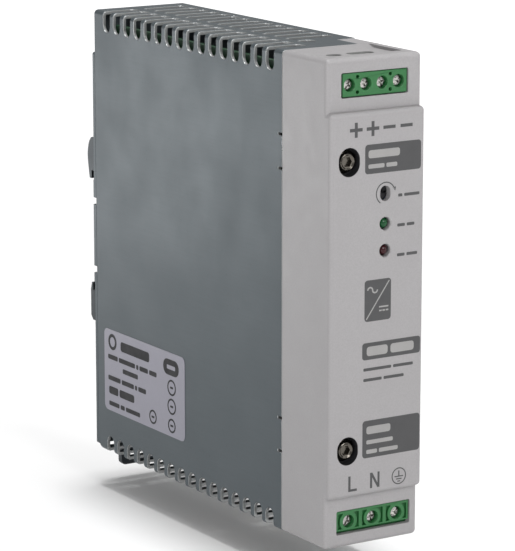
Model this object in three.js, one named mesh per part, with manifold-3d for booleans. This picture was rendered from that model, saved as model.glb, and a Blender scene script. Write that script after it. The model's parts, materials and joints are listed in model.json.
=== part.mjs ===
// A slim switching power supply for 35 mm top-hat rail: a folded steel case with vent slots, a moulded
// front cover over two rows of screw terminals, and a sprung latch on the back.
//
// Millimetres. The origin is on the rail seat, at mid width and on the rail's centreline.
// +X is to the right as seen from the front, the front faces -Y, and +Z is up.
import * as THREE from "three";
import { mergeVertices } from "three/addons/utils/BufferGeometryUtils.js";
import Module from "manifold-3d";

// ---- Driving dimensions -------------------------------------------------------------------------

const HALF_WIDTH = 14.75;
const HALF_HEIGHT = 65;
const SHEET = 1; // steel of the case
const BACK_PLATE = 1.6; // depth of the rail plate, whose seat is at y = 0
const CASE_FRONT = -101.8; // front edge of the steel case
const TERMINAL_FRONT = -123; // front face of the cover round the terminals
const PANEL_FRONT = -125; // raised middle panel of the cover
const PANEL_HALF_HEIGHT = 51.1;
const COVER_WALL = 1.8;
const GAP = 0.3; // clearance between pieces that meet

const RAIL_HALF = 17.5; // half of the 35 mm rail
const RAIL_FLANGE = 1; // thickness of the rail's flange

const VENT = { rows: 16, pitch: 5.81, first: -8.7, width: 3.9 };
const VENT_SIDE = { top: 5.9, bottom: 5 }; // how far the slots reach down, and up, the left wall
const VENT_SPLIT = { left: -4, right: -2, end: 12.2 }; // the strip left solid between the two columns

const SCREW_Z = 38.3; // the two screws that hold the cover
const SCREW_X = -9;

// The two rows of terminals: half sizes are those of the cover's windows.
const OUTPUT = { x: 0.07, z: 57.9, pitch: 5.08, poles: 4, halfWidth: 10.42, halfHeight: 3.28 };
const INPUT = { x: 0.62, z: -58.2, pitch: 7.62, poles: 3, halfWidth: 11.7, halfHeight: 3.25 };
const poleX = ({ x, pitch, poles }, k) => x + (k - (poles - 1) / 2) * pitch;
const TERMINAL_RECESS = 0.4;
const CLAMP_TRAVEL = 1.8; // how far a screw draws its clamp forwards

const PANEL_X = 2.35; // the column of adjuster and lamps
const TRIMMER_Z = 29.2;
const GREEN_Z = 21.2;
const RED_Z = 14.1;

const BOARD_FACE = -10; // component face of the main board
const BOARD_THICK = 1.6;

// ---- Materials ----------------------------------------------------------------------------------

function finish(color, roughness, metalness) {
  return new THREE.MeshStandardMaterial({ color, roughness, metalness });
}

const MATERIAL = {
  steel: finish(0x70757a, 0.45, 0.6),
  bracket: finish(0x5f6366, 0.5, 0.6),
  cover: finish(0xacabaa, 0.6, 0),
  terminal: finish(0x2c7a3c, 0.45, 0),
  bright: finish(0xb9bcc0, 0.25, 1),
  board: finish(0x1d5a33, 0.55, 0),
  ferrite: finish(0x2b2b2e, 0.7, 0),
  tape: finish(0xd9b54a, 0.5, 0),
  copper: finish(0xb06a38, 0.35, 0.8),
  sleeve: finish(0x1d2a44, 0.4, 0),
  epoxy: finish(0x1c1c1e, 0.5, 0),
  blue: finish(0x2f5fa8, 0.45, 0),
  aluminium: finish(0xa9adb0, 0.35, 0.9),
  fibre: finish(0x8f8a7c, 0.8, 0),
  ceramic: finish(0xe6e0d2, 0.4, 0),
  label: finish(0xc4c3cf, 0.5, 0),
  green: finish(0x0f5f35, 0.2, 0),
  red: finish(0x3a0a10, 0.2, 0),
};

// ---- Solids -------------------------------------------------------------------------------------

const wasm = await Module();
wasm.setup();

// A closed geometry as a manifold solid with its faces turned outwards.
function solid(geometry) {
  const bare = geometry.index ? geometry.toNonIndexed() : geometry.clone();
  for (const name of Object.keys(bare.attributes)) {
    if (name !== "position") bare.deleteAttribute(name);
  }
  const merged = mergeVertices(bare, 1e-4);
  const vertProperties = merged.attributes.position.array;
  const triVerts = new Uint32Array(merged.index.array);
  const made = new wasm.Manifold(new wasm.Mesh({ numProp: 3, vertProperties, triVerts }));
  if (made.volume() > 0) return made;
  return new wasm.Manifold(new wasm.Mesh({ numProp: 3, vertProperties, triVerts: triVerts.reverse() }));
}

function geometryOf(made) {
  const mesh = made.getMesh();
  const places = new Float32Array(mesh.numVert * 3);
  for (let i = 0; i < mesh.numVert; i += 1) {
    places.set(mesh.vertProperties.subarray(i * mesh.numProp, i * mesh.numProp + 3), i * 3);
  }
  const geometry = new THREE.BufferGeometry();
  geometry.setAttribute("position", new THREE.BufferAttribute(places, 3));
  geometry.setIndex(new THREE.BufferAttribute(mesh.triVerts, 1));
  geometry.computeVertexNormals();
  return geometry;
}

const join = (first, ...others) => others.reduce((sum, other) => sum.add(other), first);
const cut = (body, ...tools) => tools.reduce((rest, tool) => rest.subtract(tool), body);
const range = (count) => Array.from({ length: count }, (_, i) => i);
const ordered = (a, b) => [Math.min(a, b), Math.max(a, b)];
const around = (middle, half) => [middle - half, middle + half];

function block([x0, x1], [y0, y1], [z0, z1]) {
  const box = new THREE.BoxGeometry(x1 - x0, y1 - y0, z1 - z0);
  return solid(box.translate((x0 + x1) / 2, (y0 + y1) / 2, (z0 + z1) / 2));
}

// Turns local (u, v, w) so that w runs along the named axis: (u, v) is (y, z), (x, z) or (x, y).
const ALONG = {
  x: new THREE.Matrix4().set(0, 0, 1, 0, 1, 0, 0, 0, 0, 1, 0, 0, 0, 0, 0, 1),
  y: new THREE.Matrix4().set(1, 0, 0, 0, 0, 0, -1, 0, 0, 1, 0, 0, 0, 0, 0, 1),
  z: new THREE.Matrix4(),
};

function prism(axis, shape, from, to, arcSteps = 6) {
  const settings = { depth: to - from, bevelEnabled: false, curveSegments: arcSteps };
  const made = new THREE.ExtrudeGeometry(shape, settings);
  made.translate(0, 0, axis === "y" ? -to : from);
  return solid(made.applyMatrix4(ALONG[axis]));
}

const outline = (points) => new THREE.Shape(points.map(([u, v]) => new THREE.Vector2(u, v)));

function polygon(u, v, radius, sides, turn = 0) {
  const corners = range(sides).map((i) => {
    const angle = turn + (2 * Math.PI * i) / sides;
    return [u + radius * Math.cos(angle), v + radius * Math.sin(angle)];
  });
  return outline(corners);
}

const cylinder = (axis, u, v, radius, from, to, sides = 20) =>
  prism(axis, polygon(u, v, radius, sides, Math.PI / sides), from, to);

function roundedRectangle(u0, u1, v0, v1, radius) {
  const shape = new THREE.Shape();
  shape.absarc(u1 - radius, v0 + radius, radius, -Math.PI / 2, 0);
  shape.absarc(u1 - radius, v1 - radius, radius, 0, Math.PI / 2);
  shape.absarc(u0 + radius, v1 - radius, radius, Math.PI / 2, Math.PI);
  shape.absarc(u0 + radius, v0 + radius, radius, Math.PI, 1.5 * Math.PI);
  return shape;
}

// A slot with round ends, its long way along u.
function slot(u0, u1, v, width) {
  const radius = width / 2;
  const shape = new THREE.Shape();
  shape.absarc(u1 - radius, v, radius, -Math.PI / 2, Math.PI / 2);
  shape.absarc(u0 + radius, v, radius, Math.PI / 2, 1.5 * Math.PI);
  return shape;
}

// The same, its long way along v.
function uprightSlot(u, v0, v1, width) {
  const radius = width / 2;
  const shape = new THREE.Shape();
  shape.absarc(u, v1 - radius, radius, 0, Math.PI);
  shape.absarc(u, v0 + radius, radius, Math.PI, 2 * Math.PI);
  return shape;
}

// A body turned about a line along y at (x, z), or along x at (y, z). The profile's points are
// [radius, place along the line], and both ends lie on the line.
function turned(x, z, profile, sides = 16) {
  const points = profile.map(([radius, y]) => new THREE.Vector2(radius, y));
  return solid(new THREE.LatheGeometry(points, sides).translate(x, 0, z));
}

function turnedAcross(y, z, profile, sides = 16) {
  const points = profile.map(([radius, x]) => new THREE.Vector2(radius, x));
  const made = new THREE.LatheGeometry(points, sides).rotateZ(-Math.PI / 2);
  return solid(made.translate(0, y, z));
}

const part = new THREE.Group();

function section(name) {
  const group = new THREE.Group();
  group.name = name;
  part.add(group);
  return group;
}

// One piece as a mesh in a section's group; a repeated piece is made at the origin and placed here.
function add(group, name, material, made, [x, y, z] = [0, 0, 0]) {
  const mesh = new THREE.Mesh(geometryOf(made), MATERIAL[material]);
  mesh.name = name;
  mesh.position.set(x, y, z);
  group.add(mesh);
}

// ---- Steel case ---------------------------------------------------------------------------------

const ventRow = (k) => VENT.first - VENT.pitch * k;
const BEYOND = 2; // how far a cutting tool runs past the sheet that it cuts
const VENT_ARC = 2; // fineness of the round ends of a slot

// Slots that start on the left wall, turn the corner and run inwards, in the top (+1) or bottom (-1).
function wrapSlot(k, side) {
  const y = ventRow(k);
  const reach = side > 0 ? VENT_SIDE.top : VENT_SIDE.bottom;
  const ends = ordered(side * (HALF_HEIGHT - reach), side * (HALF_HEIGHT + BEYOND + VENT.width));
  const upright = uprightSlot(y, ...ends, VENT.width);
  const wall = prism("x", upright, -HALF_WIDTH - BEYOND, -HALF_WIDTH + SHEET + 0.2, VENT_ARC);
  const start = -HALF_WIDTH - BEYOND - VENT.width;
  const sheet = slot(start, VENT_SPLIT.left, y, VENT.width);
  const from = side > 0 ? HALF_HEIGHT - SHEET - 0.2 : -HALF_HEIGHT - BEYOND;
  return wall.add(prism("z", sheet, from, from + SHEET + BEYOND + 0.2, VENT_ARC));
}

const LAST_LONG_ROW = 13;
const SHORT_SLOT_END = 3.2;

function innerSlot(k, side) {
  const end = k > LAST_LONG_ROW ? SHORT_SLOT_END : VENT_SPLIT.end;
  const from = side > 0 ? HALF_HEIGHT - BEYOND : -HALF_HEIGHT - BEYOND;
  const shape = slot(VENT_SPLIT.right, end, ventRow(k), VENT.width);
  return prism("z", shape, from, from + 2 * BEYOND, VENT_ARC);
}

const NOTCH = { x: 8.9, back: -91.7 }; // where the cover's tongue lies in the top sheet
const TAB_HALF = 4.2; // half height of the tabs that take the cover's screws
const SLIT = 0.7;
const SLIT_DEEP = 1.9;
const LIP = { depth: 6, half: 5, ys: [-24, -78] }; // turned lips that take the side screws
const SIDE_SCREW_Z = HALF_HEIGHT - 4.6;
const LOWER_CORNER = { up: 2, along: 2.4 }; // the bevel at the bottom of the back

function caseShell() {
  const bend = 1.2;
  const inner = HALF_WIDTH - SHEET;
  const top = HALF_HEIGHT - SHEET;
  const profile = new THREE.Shape();
  profile.moveTo(HALF_WIDTH, HALF_HEIGHT);
  profile.absarc(-HALF_WIDTH + bend, HALF_HEIGHT - bend, bend, Math.PI / 2, Math.PI);
  profile.absarc(-HALF_WIDTH + bend, -HALF_HEIGHT + bend, bend, Math.PI, 1.5 * Math.PI);
  profile.lineTo(HALF_WIDTH, -HALF_HEIGHT);
  profile.lineTo(HALF_WIDTH, -top);
  profile.lineTo(-inner, -top);
  profile.lineTo(-inner, top);
  profile.lineTo(HALF_WIDTH, top);
  let shell = prism("y", profile, CASE_FRONT, -BACK_PLATE, 1);

  const lipX = [inner - GAP - SHEET, inner - GAP];
  for (const side of [1, -1]) {
    for (const y of LIP.ys) {
      const ends = ordered(side * (top - LIP.depth), side * (top + 0.2));
      shell = shell.add(block(lipX, around(y, LIP.half), ends));
      shell = shell.subtract(cylinder("x", y, side * SIDE_SCREW_Z, 1.4, 10, HALF_WIDTH, 12));
    }
  }
  for (const z of [SCREW_Z, -SCREW_Z]) {
    const tabX = [-HALF_WIDTH + 0.4, SCREW_X + 4.4];
    const tab = block(tabX, [CASE_FRONT, CASE_FRONT + SHEET], around(z, TAB_HALF));
    shell = shell.add(tab.subtract(cylinder("y", SCREW_X, z, 1.8, CASE_FRONT - 1, CASE_FRONT + 3)));
    for (const side of [1, -1]) {
      const middle = z + side * (TAB_HALF + SLIT / 2);
      const across = [-HALF_WIDTH - 1, -HALF_WIDTH + SHEET + 0.5];
      const deep = [CASE_FRONT - 1, CASE_FRONT + SLIT_DEEP];
      shell = shell.subtract(block(across, deep, around(middle, SLIT / 2)));
    }
  }
  for (const side of [1, -1]) {
    shell = cut(shell, ...range(VENT.rows).map((k) => wrapSlot(k, side)));
    shell = cut(shell, ...range(VENT.rows - 1).map((k) => innerSlot(k, side)));
  }
  const tongueSpace = block(
    [NOTCH.x, HALF_WIDTH + 1],
    [CASE_FRONT - 1, NOTCH.back],
    [top - 1, HALF_HEIGHT + 1],
  );
  const lowerCorner = outline([
    [-BACK_PLATE + 1, -HALF_HEIGHT + LOWER_CORNER.up],
    [-BACK_PLATE, -HALF_HEIGHT + LOWER_CORNER.up],
    [-BACK_PLATE - LOWER_CORNER.along, -HALF_HEIGHT],
    [-BACK_PLATE - LOWER_CORNER.along, -HALF_HEIGHT - 1],
    [-BACK_PLATE + 1, -HALF_HEIGHT - 1],
  ]);
  return cut(shell, tongueSpace, prism("x", lowerCorner, -HALF_WIDTH - 1, HALF_WIDTH + 1));
}

// The right wall, with the short turned wall that closes the back above the rail plate.
const PLATE_TOP = 52.6;
const PLATE_BOTTOM = -63.8;

function sideCover() {
  const z = HALF_HEIGHT - SHEET - 0.1;
  const wall = block([HALF_WIDTH - SHEET, HALF_WIDTH], [CASE_FRONT, -BACK_PLATE], [-z, z]);
  const back = block(
    [-HALF_WIDTH + SHEET + 0.1, HALF_WIDTH - SHEET / 2],
    [-BACK_PLATE - SHEET, -BACK_PLATE],
    [PLATE_TOP + GAP, z],
  );
  let made = wall.add(back);
  for (const side of [1, -1]) {
    for (const y of LIP.ys) {
      made = made.subtract(sideCountersink(y, side * SIDE_SCREW_Z));
    }
  }
  return made;
}

// Countersunk screws, their heads just below the face of the wall.
const SIDE_HEAD = { radius: 2.3, shank: 1.25, sunk: 0.1, play: 0.12 };

function sideCountersink(y, z) {
  const outer = SIDE_HEAD.radius + SIDE_HEAD.play;
  const inner = SIDE_HEAD.shank + SIDE_HEAD.play;
  return turnedAcross(y, z, [
    [0, HALF_WIDTH - SHEET - 1],
    [inner, HALF_WIDTH - SHEET - 1],
    [inner, HALF_WIDTH - SHEET],
    [outer, HALF_WIDTH - SIDE_HEAD.sunk],
    [outer, HALF_WIDTH + 1],
    [0, HALF_WIDTH + 1],
  ]);
}

// A cross for a screwdriver, cut into a head between two places along x.
function crossAcross(y, z, from, to, length) {
  const groove = 0.3;
  return join(
    block([from, to], around(y, length / 2), around(z, groove)),
    block([from, to], around(y, groove), around(z, length / 2)),
  );
}

function sideScrew() {
  const face = HALF_WIDTH - SIDE_HEAD.sunk;
  const screw = turnedAcross(0, 0, [
    [0, HALF_WIDTH - 5.5],
    [SIDE_HEAD.shank, HALF_WIDTH - 5.5],
    [SIDE_HEAD.shank, HALF_WIDTH - SHEET],
    [SIDE_HEAD.radius, face],
    [0, face],
  ]);
  return screw.subtract(crossAcross(0, 0, face - 0.6, face + 1, 2.4));
}

const steelCase = section("steel_case");
add(steelCase, "housing_shell", "steel", caseShell());
add(steelCase, "side_cover", "steel", sideCover());
for (const [i, y] of LIP.ys.entries()) {
  add(steelCase, `side_screw_upper_${i + 1}`, "bright", sideScrew(), [0, y, SIDE_SCREW_Z]);
  add(steelCase, `side_screw_lower_${i + 1}`, "bright", sideScrew(), [0, y, -SIDE_SCREW_Z]);
}

// ---- Rail fixing --------------------------------------------------------------------------------

const SEAT = { half: 15.2, raised: 0.3 }; // the pad of the plate that bears on the rail
const PLATE_FACE = -SEAT.raised; // back face of the plate above and below the pad
const RIVET = { x: 8, z: 23, radius: 1.5, head: 2.6 };
const NICKS = [9, -11.3];

function railPlate() {
  const face = roundedRectangle(-HALF_WIDTH, HALF_WIDTH, PLATE_BOTTOM, PLATE_TOP, 0.6);
  const pad = block(around(0, HALF_WIDTH), [PLATE_FACE - 0.5, 0], around(0, SEAT.half));
  const plate = prism("y", face, -BACK_PLATE + 0.05, PLATE_FACE, 2).add(pad);
  const holes = [RIVET.x, -RIVET.x].map((x) => cylinder("y", x, RIVET.z, RIVET.radius + 0.15, -3, 1, 16));
  // Small nicks in the left and right edges, level with the rail.
  const nicks = [1, -1].flatMap((side) =>
    NICKS.map((z) => {
      const across = ordered(side * (HALF_WIDTH - 1.2), side * (HALF_WIDTH + 1));
      return block(across, [-BACK_PLATE - 1, 1], around(z, 1));
    }),
  );
  return cut(plate, ...holes, ...nicks);
}

// The fixed hook: a solid bar across the back, whose lip goes behind the rail's upper flange.
function railHook() {
  const front = PLATE_FACE + 0.05;
  const lipFront = RAIL_FLANGE + 0.35;
  const ledge = RAIL_HALF + GAP;
  const side = new THREE.Shape();
  side.moveTo(front, 27.5);
  side.lineTo(1.5, 27.5);
  side.splineThru([
    new THREE.Vector2(2.9, 25.6),
    new THREE.Vector2(3.6, 22),
    new THREE.Vector2(2.85, 17),
  ]);
  side.lineTo(2.5, 15.4);
  side.lineTo(lipFront, 15.4);
  side.lineTo(lipFront, ledge);
  side.lineTo(front, ledge);
  const bar = prism("x", side, -HALF_WIDTH + 0.2, HALF_WIDTH - 0.2, 3);
  const holes = [RIVET.x, -RIVET.x].map((x) =>
    cylinder("y", x, RIVET.z, RIVET.radius + 0.15, -1, 5, 16),
  );
  return cut(bar, ...holes);
}

// A rivet through hook and plate, with a dome on each side.
function hookRivet() {
  const back = 3.75;
  const front = -BACK_PLATE - 0.05;
  const dome = 0.9;
  return turned(0, 0, [
    [0, front - dome],
    [RIVET.head * 0.7, front - dome * 0.6],
    [RIVET.head, front],
    [RIVET.radius, front],
    [RIVET.radius, back],
    [RIVET.head, back],
    [RIVET.head * 0.7, back + dome * 0.6],
    [0, back + dome],
  ]);
}

const FOOT_HALF = 6;
const LATCH = {
  front: GAP,
  back: 2.3,
  jawBack: 2.75,
  jawTop: -15.6,
  jawBottom: -26.9,
  jawHalf: HALF_WIDTH - 0.3,
  foot: -72.2,
  window: { half: 2.4, bottom: -51, top: -36 },
};

// The sprung latch: a jaw across the back under the rail's lower flange, a strip down the plate, and
// a foot with a slot for a screwdriver.
function railLatch() {
  const ledge = -RAIL_HALF - GAP;
  const lipFront = RAIL_FLANGE + 0.35;
  const jaw = outline([
    [LATCH.front, ledge],
    [lipFront, ledge],
    [lipFront, LATCH.jawTop],
    [2.1, LATCH.jawTop],
    [LATCH.jawBack, ledge],
    [LATCH.jawBack, LATCH.jawBottom + 1.4],
    [1.6, LATCH.jawBottom],
    [LATCH.front, LATCH.jawBottom],
  ]);
  const strip = roundedRectangle(-FOOT_HALF, FOOT_HALF, LATCH.foot, LATCH.jawBottom + 1.5, 1.4);
  const body = join(
    prism("x", jaw, -LATCH.jawHalf, LATCH.jawHalf),
    prism("y", strip, LATCH.front, LATCH.back, 2),
  );
  const { half, bottom, top } = LATCH.window;
  const driverSlot = prism("y", slot(-3, 3, LATCH.foot + 3, 1.8), -1, 4, 3);
  return cut(body, block([-half, half], [-1, 4], [bottom, top]), driverSlot);
}

const GUIDE = { half: 9.2, bottom: -50, top: -42, channel: FOOT_HALF + 0.4, strap: 1.2 };
const SEAT_TOP = -48; // the fixed end of the latch's spring

// A strap over the latch's strip, with a seat that stands in the strip's window under the spring.
function latchGuide() {
  const strapFront = LATCH.back + 0.4;
  const strapBack = strapFront + GUIDE.strap;
  const high = [GUIDE.bottom, GUIDE.top];
  const strap = block(around(0, GUIDE.half), [PLATE_FACE + 0.05, strapBack], high);
  const channel = block(around(0, GUIDE.channel), [-1, strapFront], [high[0] - 1, high[1] + 1]);
  const seat = block(around(0, 1.9), [GAP, strapFront + 0.6], [GUIDE.bottom, SEAT_TOP]);
  const springWindow = block(around(0, 2.6), [strapFront - 1, strapBack + 1], [SEAT_TOP, GUIDE.top + 1]);
  return cut(strap, channel, springWindow).add(seat);
}

const SPRING = { radius: 1.6, wire: 0.3, turns: 7, y: 2.3 };

class Helix extends THREE.Curve {
  getPoint(t, target = new THREE.Vector3()) {
    const { radius, wire, turns, y } = SPRING;
    const angle = 2 * Math.PI * turns * t;
    const from = SEAT_TOP + wire + 0.1;
    const to = LATCH.window.top - wire - 0.1;
    return target.set(radius * Math.cos(angle), y + radius * Math.sin(angle), from + (to - from) * t);
  }
}

function latchSpring() {
  const wire = polygon(0, 0, SPRING.wire, 5);
  const settings = { steps: SPRING.turns * 8, extrudePath: new Helix(), bevelEnabled: false };
  return solid(new THREE.ExtrudeGeometry(wire, settings));
}

const railFixing = section("rail_fixing");
add(railFixing, "rear_plate", "steel", railPlate());
add(railFixing, "rail_hook", "bracket", railHook());
add(railFixing, "hook_rivet_left", "bright", hookRivet(), [-RIVET.x, 0, RIVET.z]);
add(railFixing, "hook_rivet_right", "bright", hookRivet(), [RIVET.x, 0, RIVET.z]);
add(railFixing, "rail_latch", "bracket", railLatch());
add(railFixing, "latch_guide", "bracket", latchGuide());
add(railFixing, "latch_spring", "bright", latchSpring());

// ---- Front cover --------------------------------------------------------------------------------

const COVER_BACK = CASE_FRONT - GAP;
const EDGE = 1.1; // rounding of the cover's front edges

// A bar with rounded long edges and a rounded front edge, from the back of the cover to its front.
function coverBody(halfHeight, front) {
  const depth = 30;
  const wide = HALF_WIDTH - EDGE;
  const high = halfHeight - EDGE;
  const shape = roundedRectangle(-wide, wide, -high, high, 0.4);
  const made = new THREE.ExtrudeGeometry(shape, {
    depth,
    bevelThickness: EDGE,
    bevelSize: EDGE,
    bevelSegments: 2,
    curveSegments: 1,
  });
  made.rotateX(Math.PI / 2); // extrudes along -y
  made.translate(0, front + depth + EDGE, 0);
  const behind = block(around(0, 20), [COVER_BACK, COVER_BACK + 2 * depth], around(0, 80));
  return solid(made).subtract(behind);
}

const WIRE_SLOTS = [
  { from: -7.6, to: -3.3 },
  { from: -1.2, to: 6.8 },
];
const WIRE_SLOT = { y: -112, width: 3.6 };
const RECESS = { deep: 0.8, left: -12.4, right: 11.6, back: -102.6, front: -118.4 };

// The shallow sunk field in the cover's top, with sloping ends.
function topRecess() {
  const field = outline([
    [RECESS.back, HALF_HEIGHT + 1],
    [RECESS.back, HALF_HEIGHT],
    [RECESS.back - 3, HALF_HEIGHT - RECESS.deep],
    [RECESS.front + 1.2, HALF_HEIGHT - RECESS.deep],
    [RECESS.front, HALF_HEIGHT],
    [RECESS.front, HALF_HEIGHT + 1],
  ]);
  return prism("x", field, RECESS.left, RECESS.right);
}

const WELL = { width: 6.5, height: 7.6, deep: 3 };

function screwWell(z) {
  const across = around(SCREW_X, WELL.width / 2);
  const mouth = roundedRectangle(...across, ...around(z, WELL.height / 2), WELL.width / 2 - 0.05);
  return prism("y", mouth, PANEL_FRONT - 1, PANEL_FRONT + WELL.deep, 4);
}

function windowOf({ x, z, halfWidth, halfHeight }) {
  const mouth = roundedRectangle(...around(x, halfWidth), ...around(z, halfHeight), 0.4);
  return prism("y", mouth, TERMINAL_FRONT - 1, TERMINAL_FRONT + 6, 1);
}

// The holes in the cover's bottom edge, through which the supply wires go up into their clamps.
const ENTRY_HALF = 2.4;
const COVER_DEPTH = [-130, 0]; // tools that run right through the cover

function frontCover() {
  const inX = HALF_WIDTH - COVER_WALL;
  const inZ = HALF_HEIGHT - COVER_WALL;
  const outer = coverBody(HALF_HEIGHT, TERMINAL_FRONT).add(coverBody(PANEL_HALF_HEIGHT, PANEL_FRONT));
  const hollow = block([-inX, inX], [TERMINAL_FRONT + COVER_WALL, COVER_BACK + 1], [-inZ, inZ]);
  const panelZ = PANEL_HALF_HEIGHT - COVER_WALL;
  const panelDepth = [PANEL_FRONT + COVER_WALL, TERMINAL_FRONT + 3];
  const panelHollow = block([-inX, inX], panelDepth, [-panelZ, panelZ]);
  let cover = cut(outer, hollow, panelHollow);

  // Rims that go inside the steel at the top and bottom.
  const rimOut = HALF_HEIGHT - SHEET - GAP;
  const rimIn = rimOut - 1;
  for (const side of [1, -1]) {
    const across = [-HALF_WIDTH + 2.15, HALF_WIDTH - 2.75];
    const deep = [TERMINAL_FRONT + 3, COVER_BACK + 3.6];
    cover = cover.add(block(across, deep, ordered(side * rimIn, side * rimOut)));
  }
  // The tongue in the notch of the top sheet.
  const tongue = block(
    [NOTCH.x + GAP, HALF_WIDTH - 0.6],
    [COVER_BACK - 2, NOTCH.back - GAP],
    [HALF_HEIGHT - SHEET, HALF_HEIGHT - 0.1],
  );
  cover = cover.add(tongue);

  // A collar round each screw well, and a tube behind it that reaches back to the case.
  const wellBottom = PANEL_FRONT + WELL.deep;
  for (const z of [SCREW_Z, -SCREW_Z]) {
    const collar = cylinder("y", SCREW_X, z, 4.6, PANEL_FRONT + 1, wellBottom + 1.6, 16);
    const post = cylinder("y", SCREW_X, z, 3.2, wellBottom, COVER_BACK, 16);
    const inside = block([-HALF_WIDTH + 1, 0], COVER_DEPTH, around(0, 60));
    cover = cover.add(collar.add(post).intersect(inside));
    cover = cut(cover, screwWell(z), cylinder("y", SCREW_X, z, 1.8, ...COVER_DEPTH, 14));
  }
  const panelDeep = [PANEL_FRONT - 1, PANEL_FRONT + 5];
  const lampHoles = [GREEN_Z, RED_Z].map((z) => cylinder("y", PANEL_X, z, 1.7, ...panelDeep, 16));
  const trimmerShape = uprightSlot(PANEL_X - 0.1, ...around(TRIMMER_Z, 2.05), 3.2);
  const trimmerHole = prism("y", trimmerShape, ...panelDeep, 4);
  const upperEntries = WIRE_SLOTS.map(({ from, to }) => {
    const shape = slot(from, to, WIRE_SLOT.y, WIRE_SLOT.width);
    return prism("z", shape, HALF_HEIGHT - 4, HALF_HEIGHT + 1, 3);
  });
  const lowerEntries = range(INPUT.poles).map((k) => {
    const shape = slot(...around(poleX(INPUT, k), ENTRY_HALF), WIRE_SLOT.y, WIRE_SLOT.width);
    return prism("z", shape, -HALF_HEIGHT - 1, -HALF_HEIGHT + 4, 3);
  });
  const windows = [windowOf(OUTPUT), windowOf(INPUT)];
  return cut(cover, topRecess(), ...windows, ...lampHoles, trimmerHole, ...upperEntries, ...lowerEntries);
}

// A long cover screw: a flanged head with a hexagon socket, sunk in its well.
function coverScrew() {
  const seat = PANEL_FRONT + WELL.deep - 0.05;
  const headTop = seat - 2.2;
  const profile = [
    [0, headTop],
    [2, headTop],
    [2.4, headTop + 0.4],
    [2.5, headTop + 1.2],
    [3.1, headTop + 1.5],
    [3.1, seat],
    [1.45, seat],
    [1.45, CASE_FRONT + 5],
    [0, CASE_FRONT + 5.6],
  ];
  const socket = prism("y", polygon(0, 0, 1.45, 6), headTop - 1, headTop + 1.3);
  return turned(0, 0, profile).subtract(socket);
}

const frontSection = section("front");
add(frontSection, "front_cover", "cover", frontCover());
add(frontSection, "cover_screw_upper", "bright", coverScrew(), [SCREW_X, 0, SCREW_Z]);
add(frontSection, "cover_screw_lower", "bright", coverScrew(), [SCREW_X, 0, -SCREW_Z]);

// ---- Terminals ----------------------------------------------------------------------------------

const TERMINAL_FACE = TERMINAL_FRONT + TERMINAL_RECESS;
const BODY_FACE = TERMINAL_FRONT + COVER_WALL + GAP;
const TERMINAL_BACK = -109;
const SCREW_HOLE = { output: 1.7, input: 1.75 };
const CLAMP = { halfX: 1.85, halfZ: 2.2, front: -116.6, back: -112, wall: 0.7 };
const CHAMBER = { halfX: 2.1, front: CLAMP.front - CLAMP_TRAVEL - 0.5, back: CLAMP.back + GAP };
const NOSE_PLAY = { all: 0.25, outputLeft: 0.7, inputBottom: 0.9 }; // between block and window

// The moulded block: a nose in the cover's window, and a body behind it with one chamber per pole.
// The chambers are open at the top of the upper block (side +1) and at the bottom of the lower one.
function terminalBlock(row, holeRadius, side) {
  const left = row.x - row.halfWidth + (side > 0 ? NOSE_PLAY.outputLeft : NOSE_PLAY.all);
  const right = row.x + row.halfWidth - NOSE_PLAY.all;
  const bottom = row.z - row.halfHeight + (side > 0 ? NOSE_PLAY.all : NOSE_PLAY.inputBottom);
  const top = row.z + row.halfHeight - NOSE_PLAY.all;
  const bodyZ = ordered(side * (HALF_HEIGHT - COVER_WALL - 0.5), row.z - side * 5.2);
  let made = join(
    block([left, right], [TERMINAL_FACE, BODY_FACE + 0.5], [bottom, top]),
    block(around(row.x, row.halfWidth), [BODY_FACE, TERMINAL_BACK], bodyZ),
  );
  for (const k of range(row.poles)) {
    const x = poleX(row, k);
    const chamberZ = ordered(row.z - side * 2.6, side * HALF_HEIGHT);
    const chamber = block(around(x, CHAMBER.halfX), [CHAMBER.front, CHAMBER.back], chamberZ);
    const screwHole = cylinder("y", x, row.z, holeRadius, TERMINAL_FACE - 1, CHAMBER.back, 16);
    made = cut(made, screwHole, chamber);
  }
  return made;
}

// Two small test holes between the poles of each pair.
function outputBlock() {
  const holes = [0, 2].flatMap((k) =>
    [2, -2].map((dz) => {
      const x = (poleX(OUTPUT, k) + poleX(OUTPUT, k + 1)) / 2;
      return cylinder("y", x, OUTPUT.z + dz, 0.5, TERMINAL_FACE - 1, TERMINAL_FACE + 3, 8);
    }),
  );
  return cut(terminalBlock(OUTPUT, SCREW_HOLE.output, 1), ...holes);
}

// Sunk fields between the round collars of the poles, each with a narrow rib in the middle.
function inputBlock() {
  const plain = terminalBlock(INPUT, SCREW_HOLE.input, -1);
  const sunk = 0.8;
  const collars = range(INPUT.poles).map((k) =>
    cylinder("y", poleX(INPUT, k), INPUT.z, 2.75, TERMINAL_FACE - 1, TERMINAL_FACE + sunk + 1),
  );
  const fields = range(INPUT.poles + 1).map((k) => {
    const middle = poleX(INPUT, k) - INPUT.pitch / 2;
    const z = [INPUT.z - 1.9, INPUT.z + 2.3];
    const field = block(around(middle, 2), [TERMINAL_FACE - 1, TERMINAL_FACE + sunk], z);
    const rib = block(around(middle, 0.5), [TERMINAL_FACE, TERMINAL_FACE + 2], z);
    return cut(field, ...collars, rib);
  });
  return cut(plain, ...fields);
}

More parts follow.
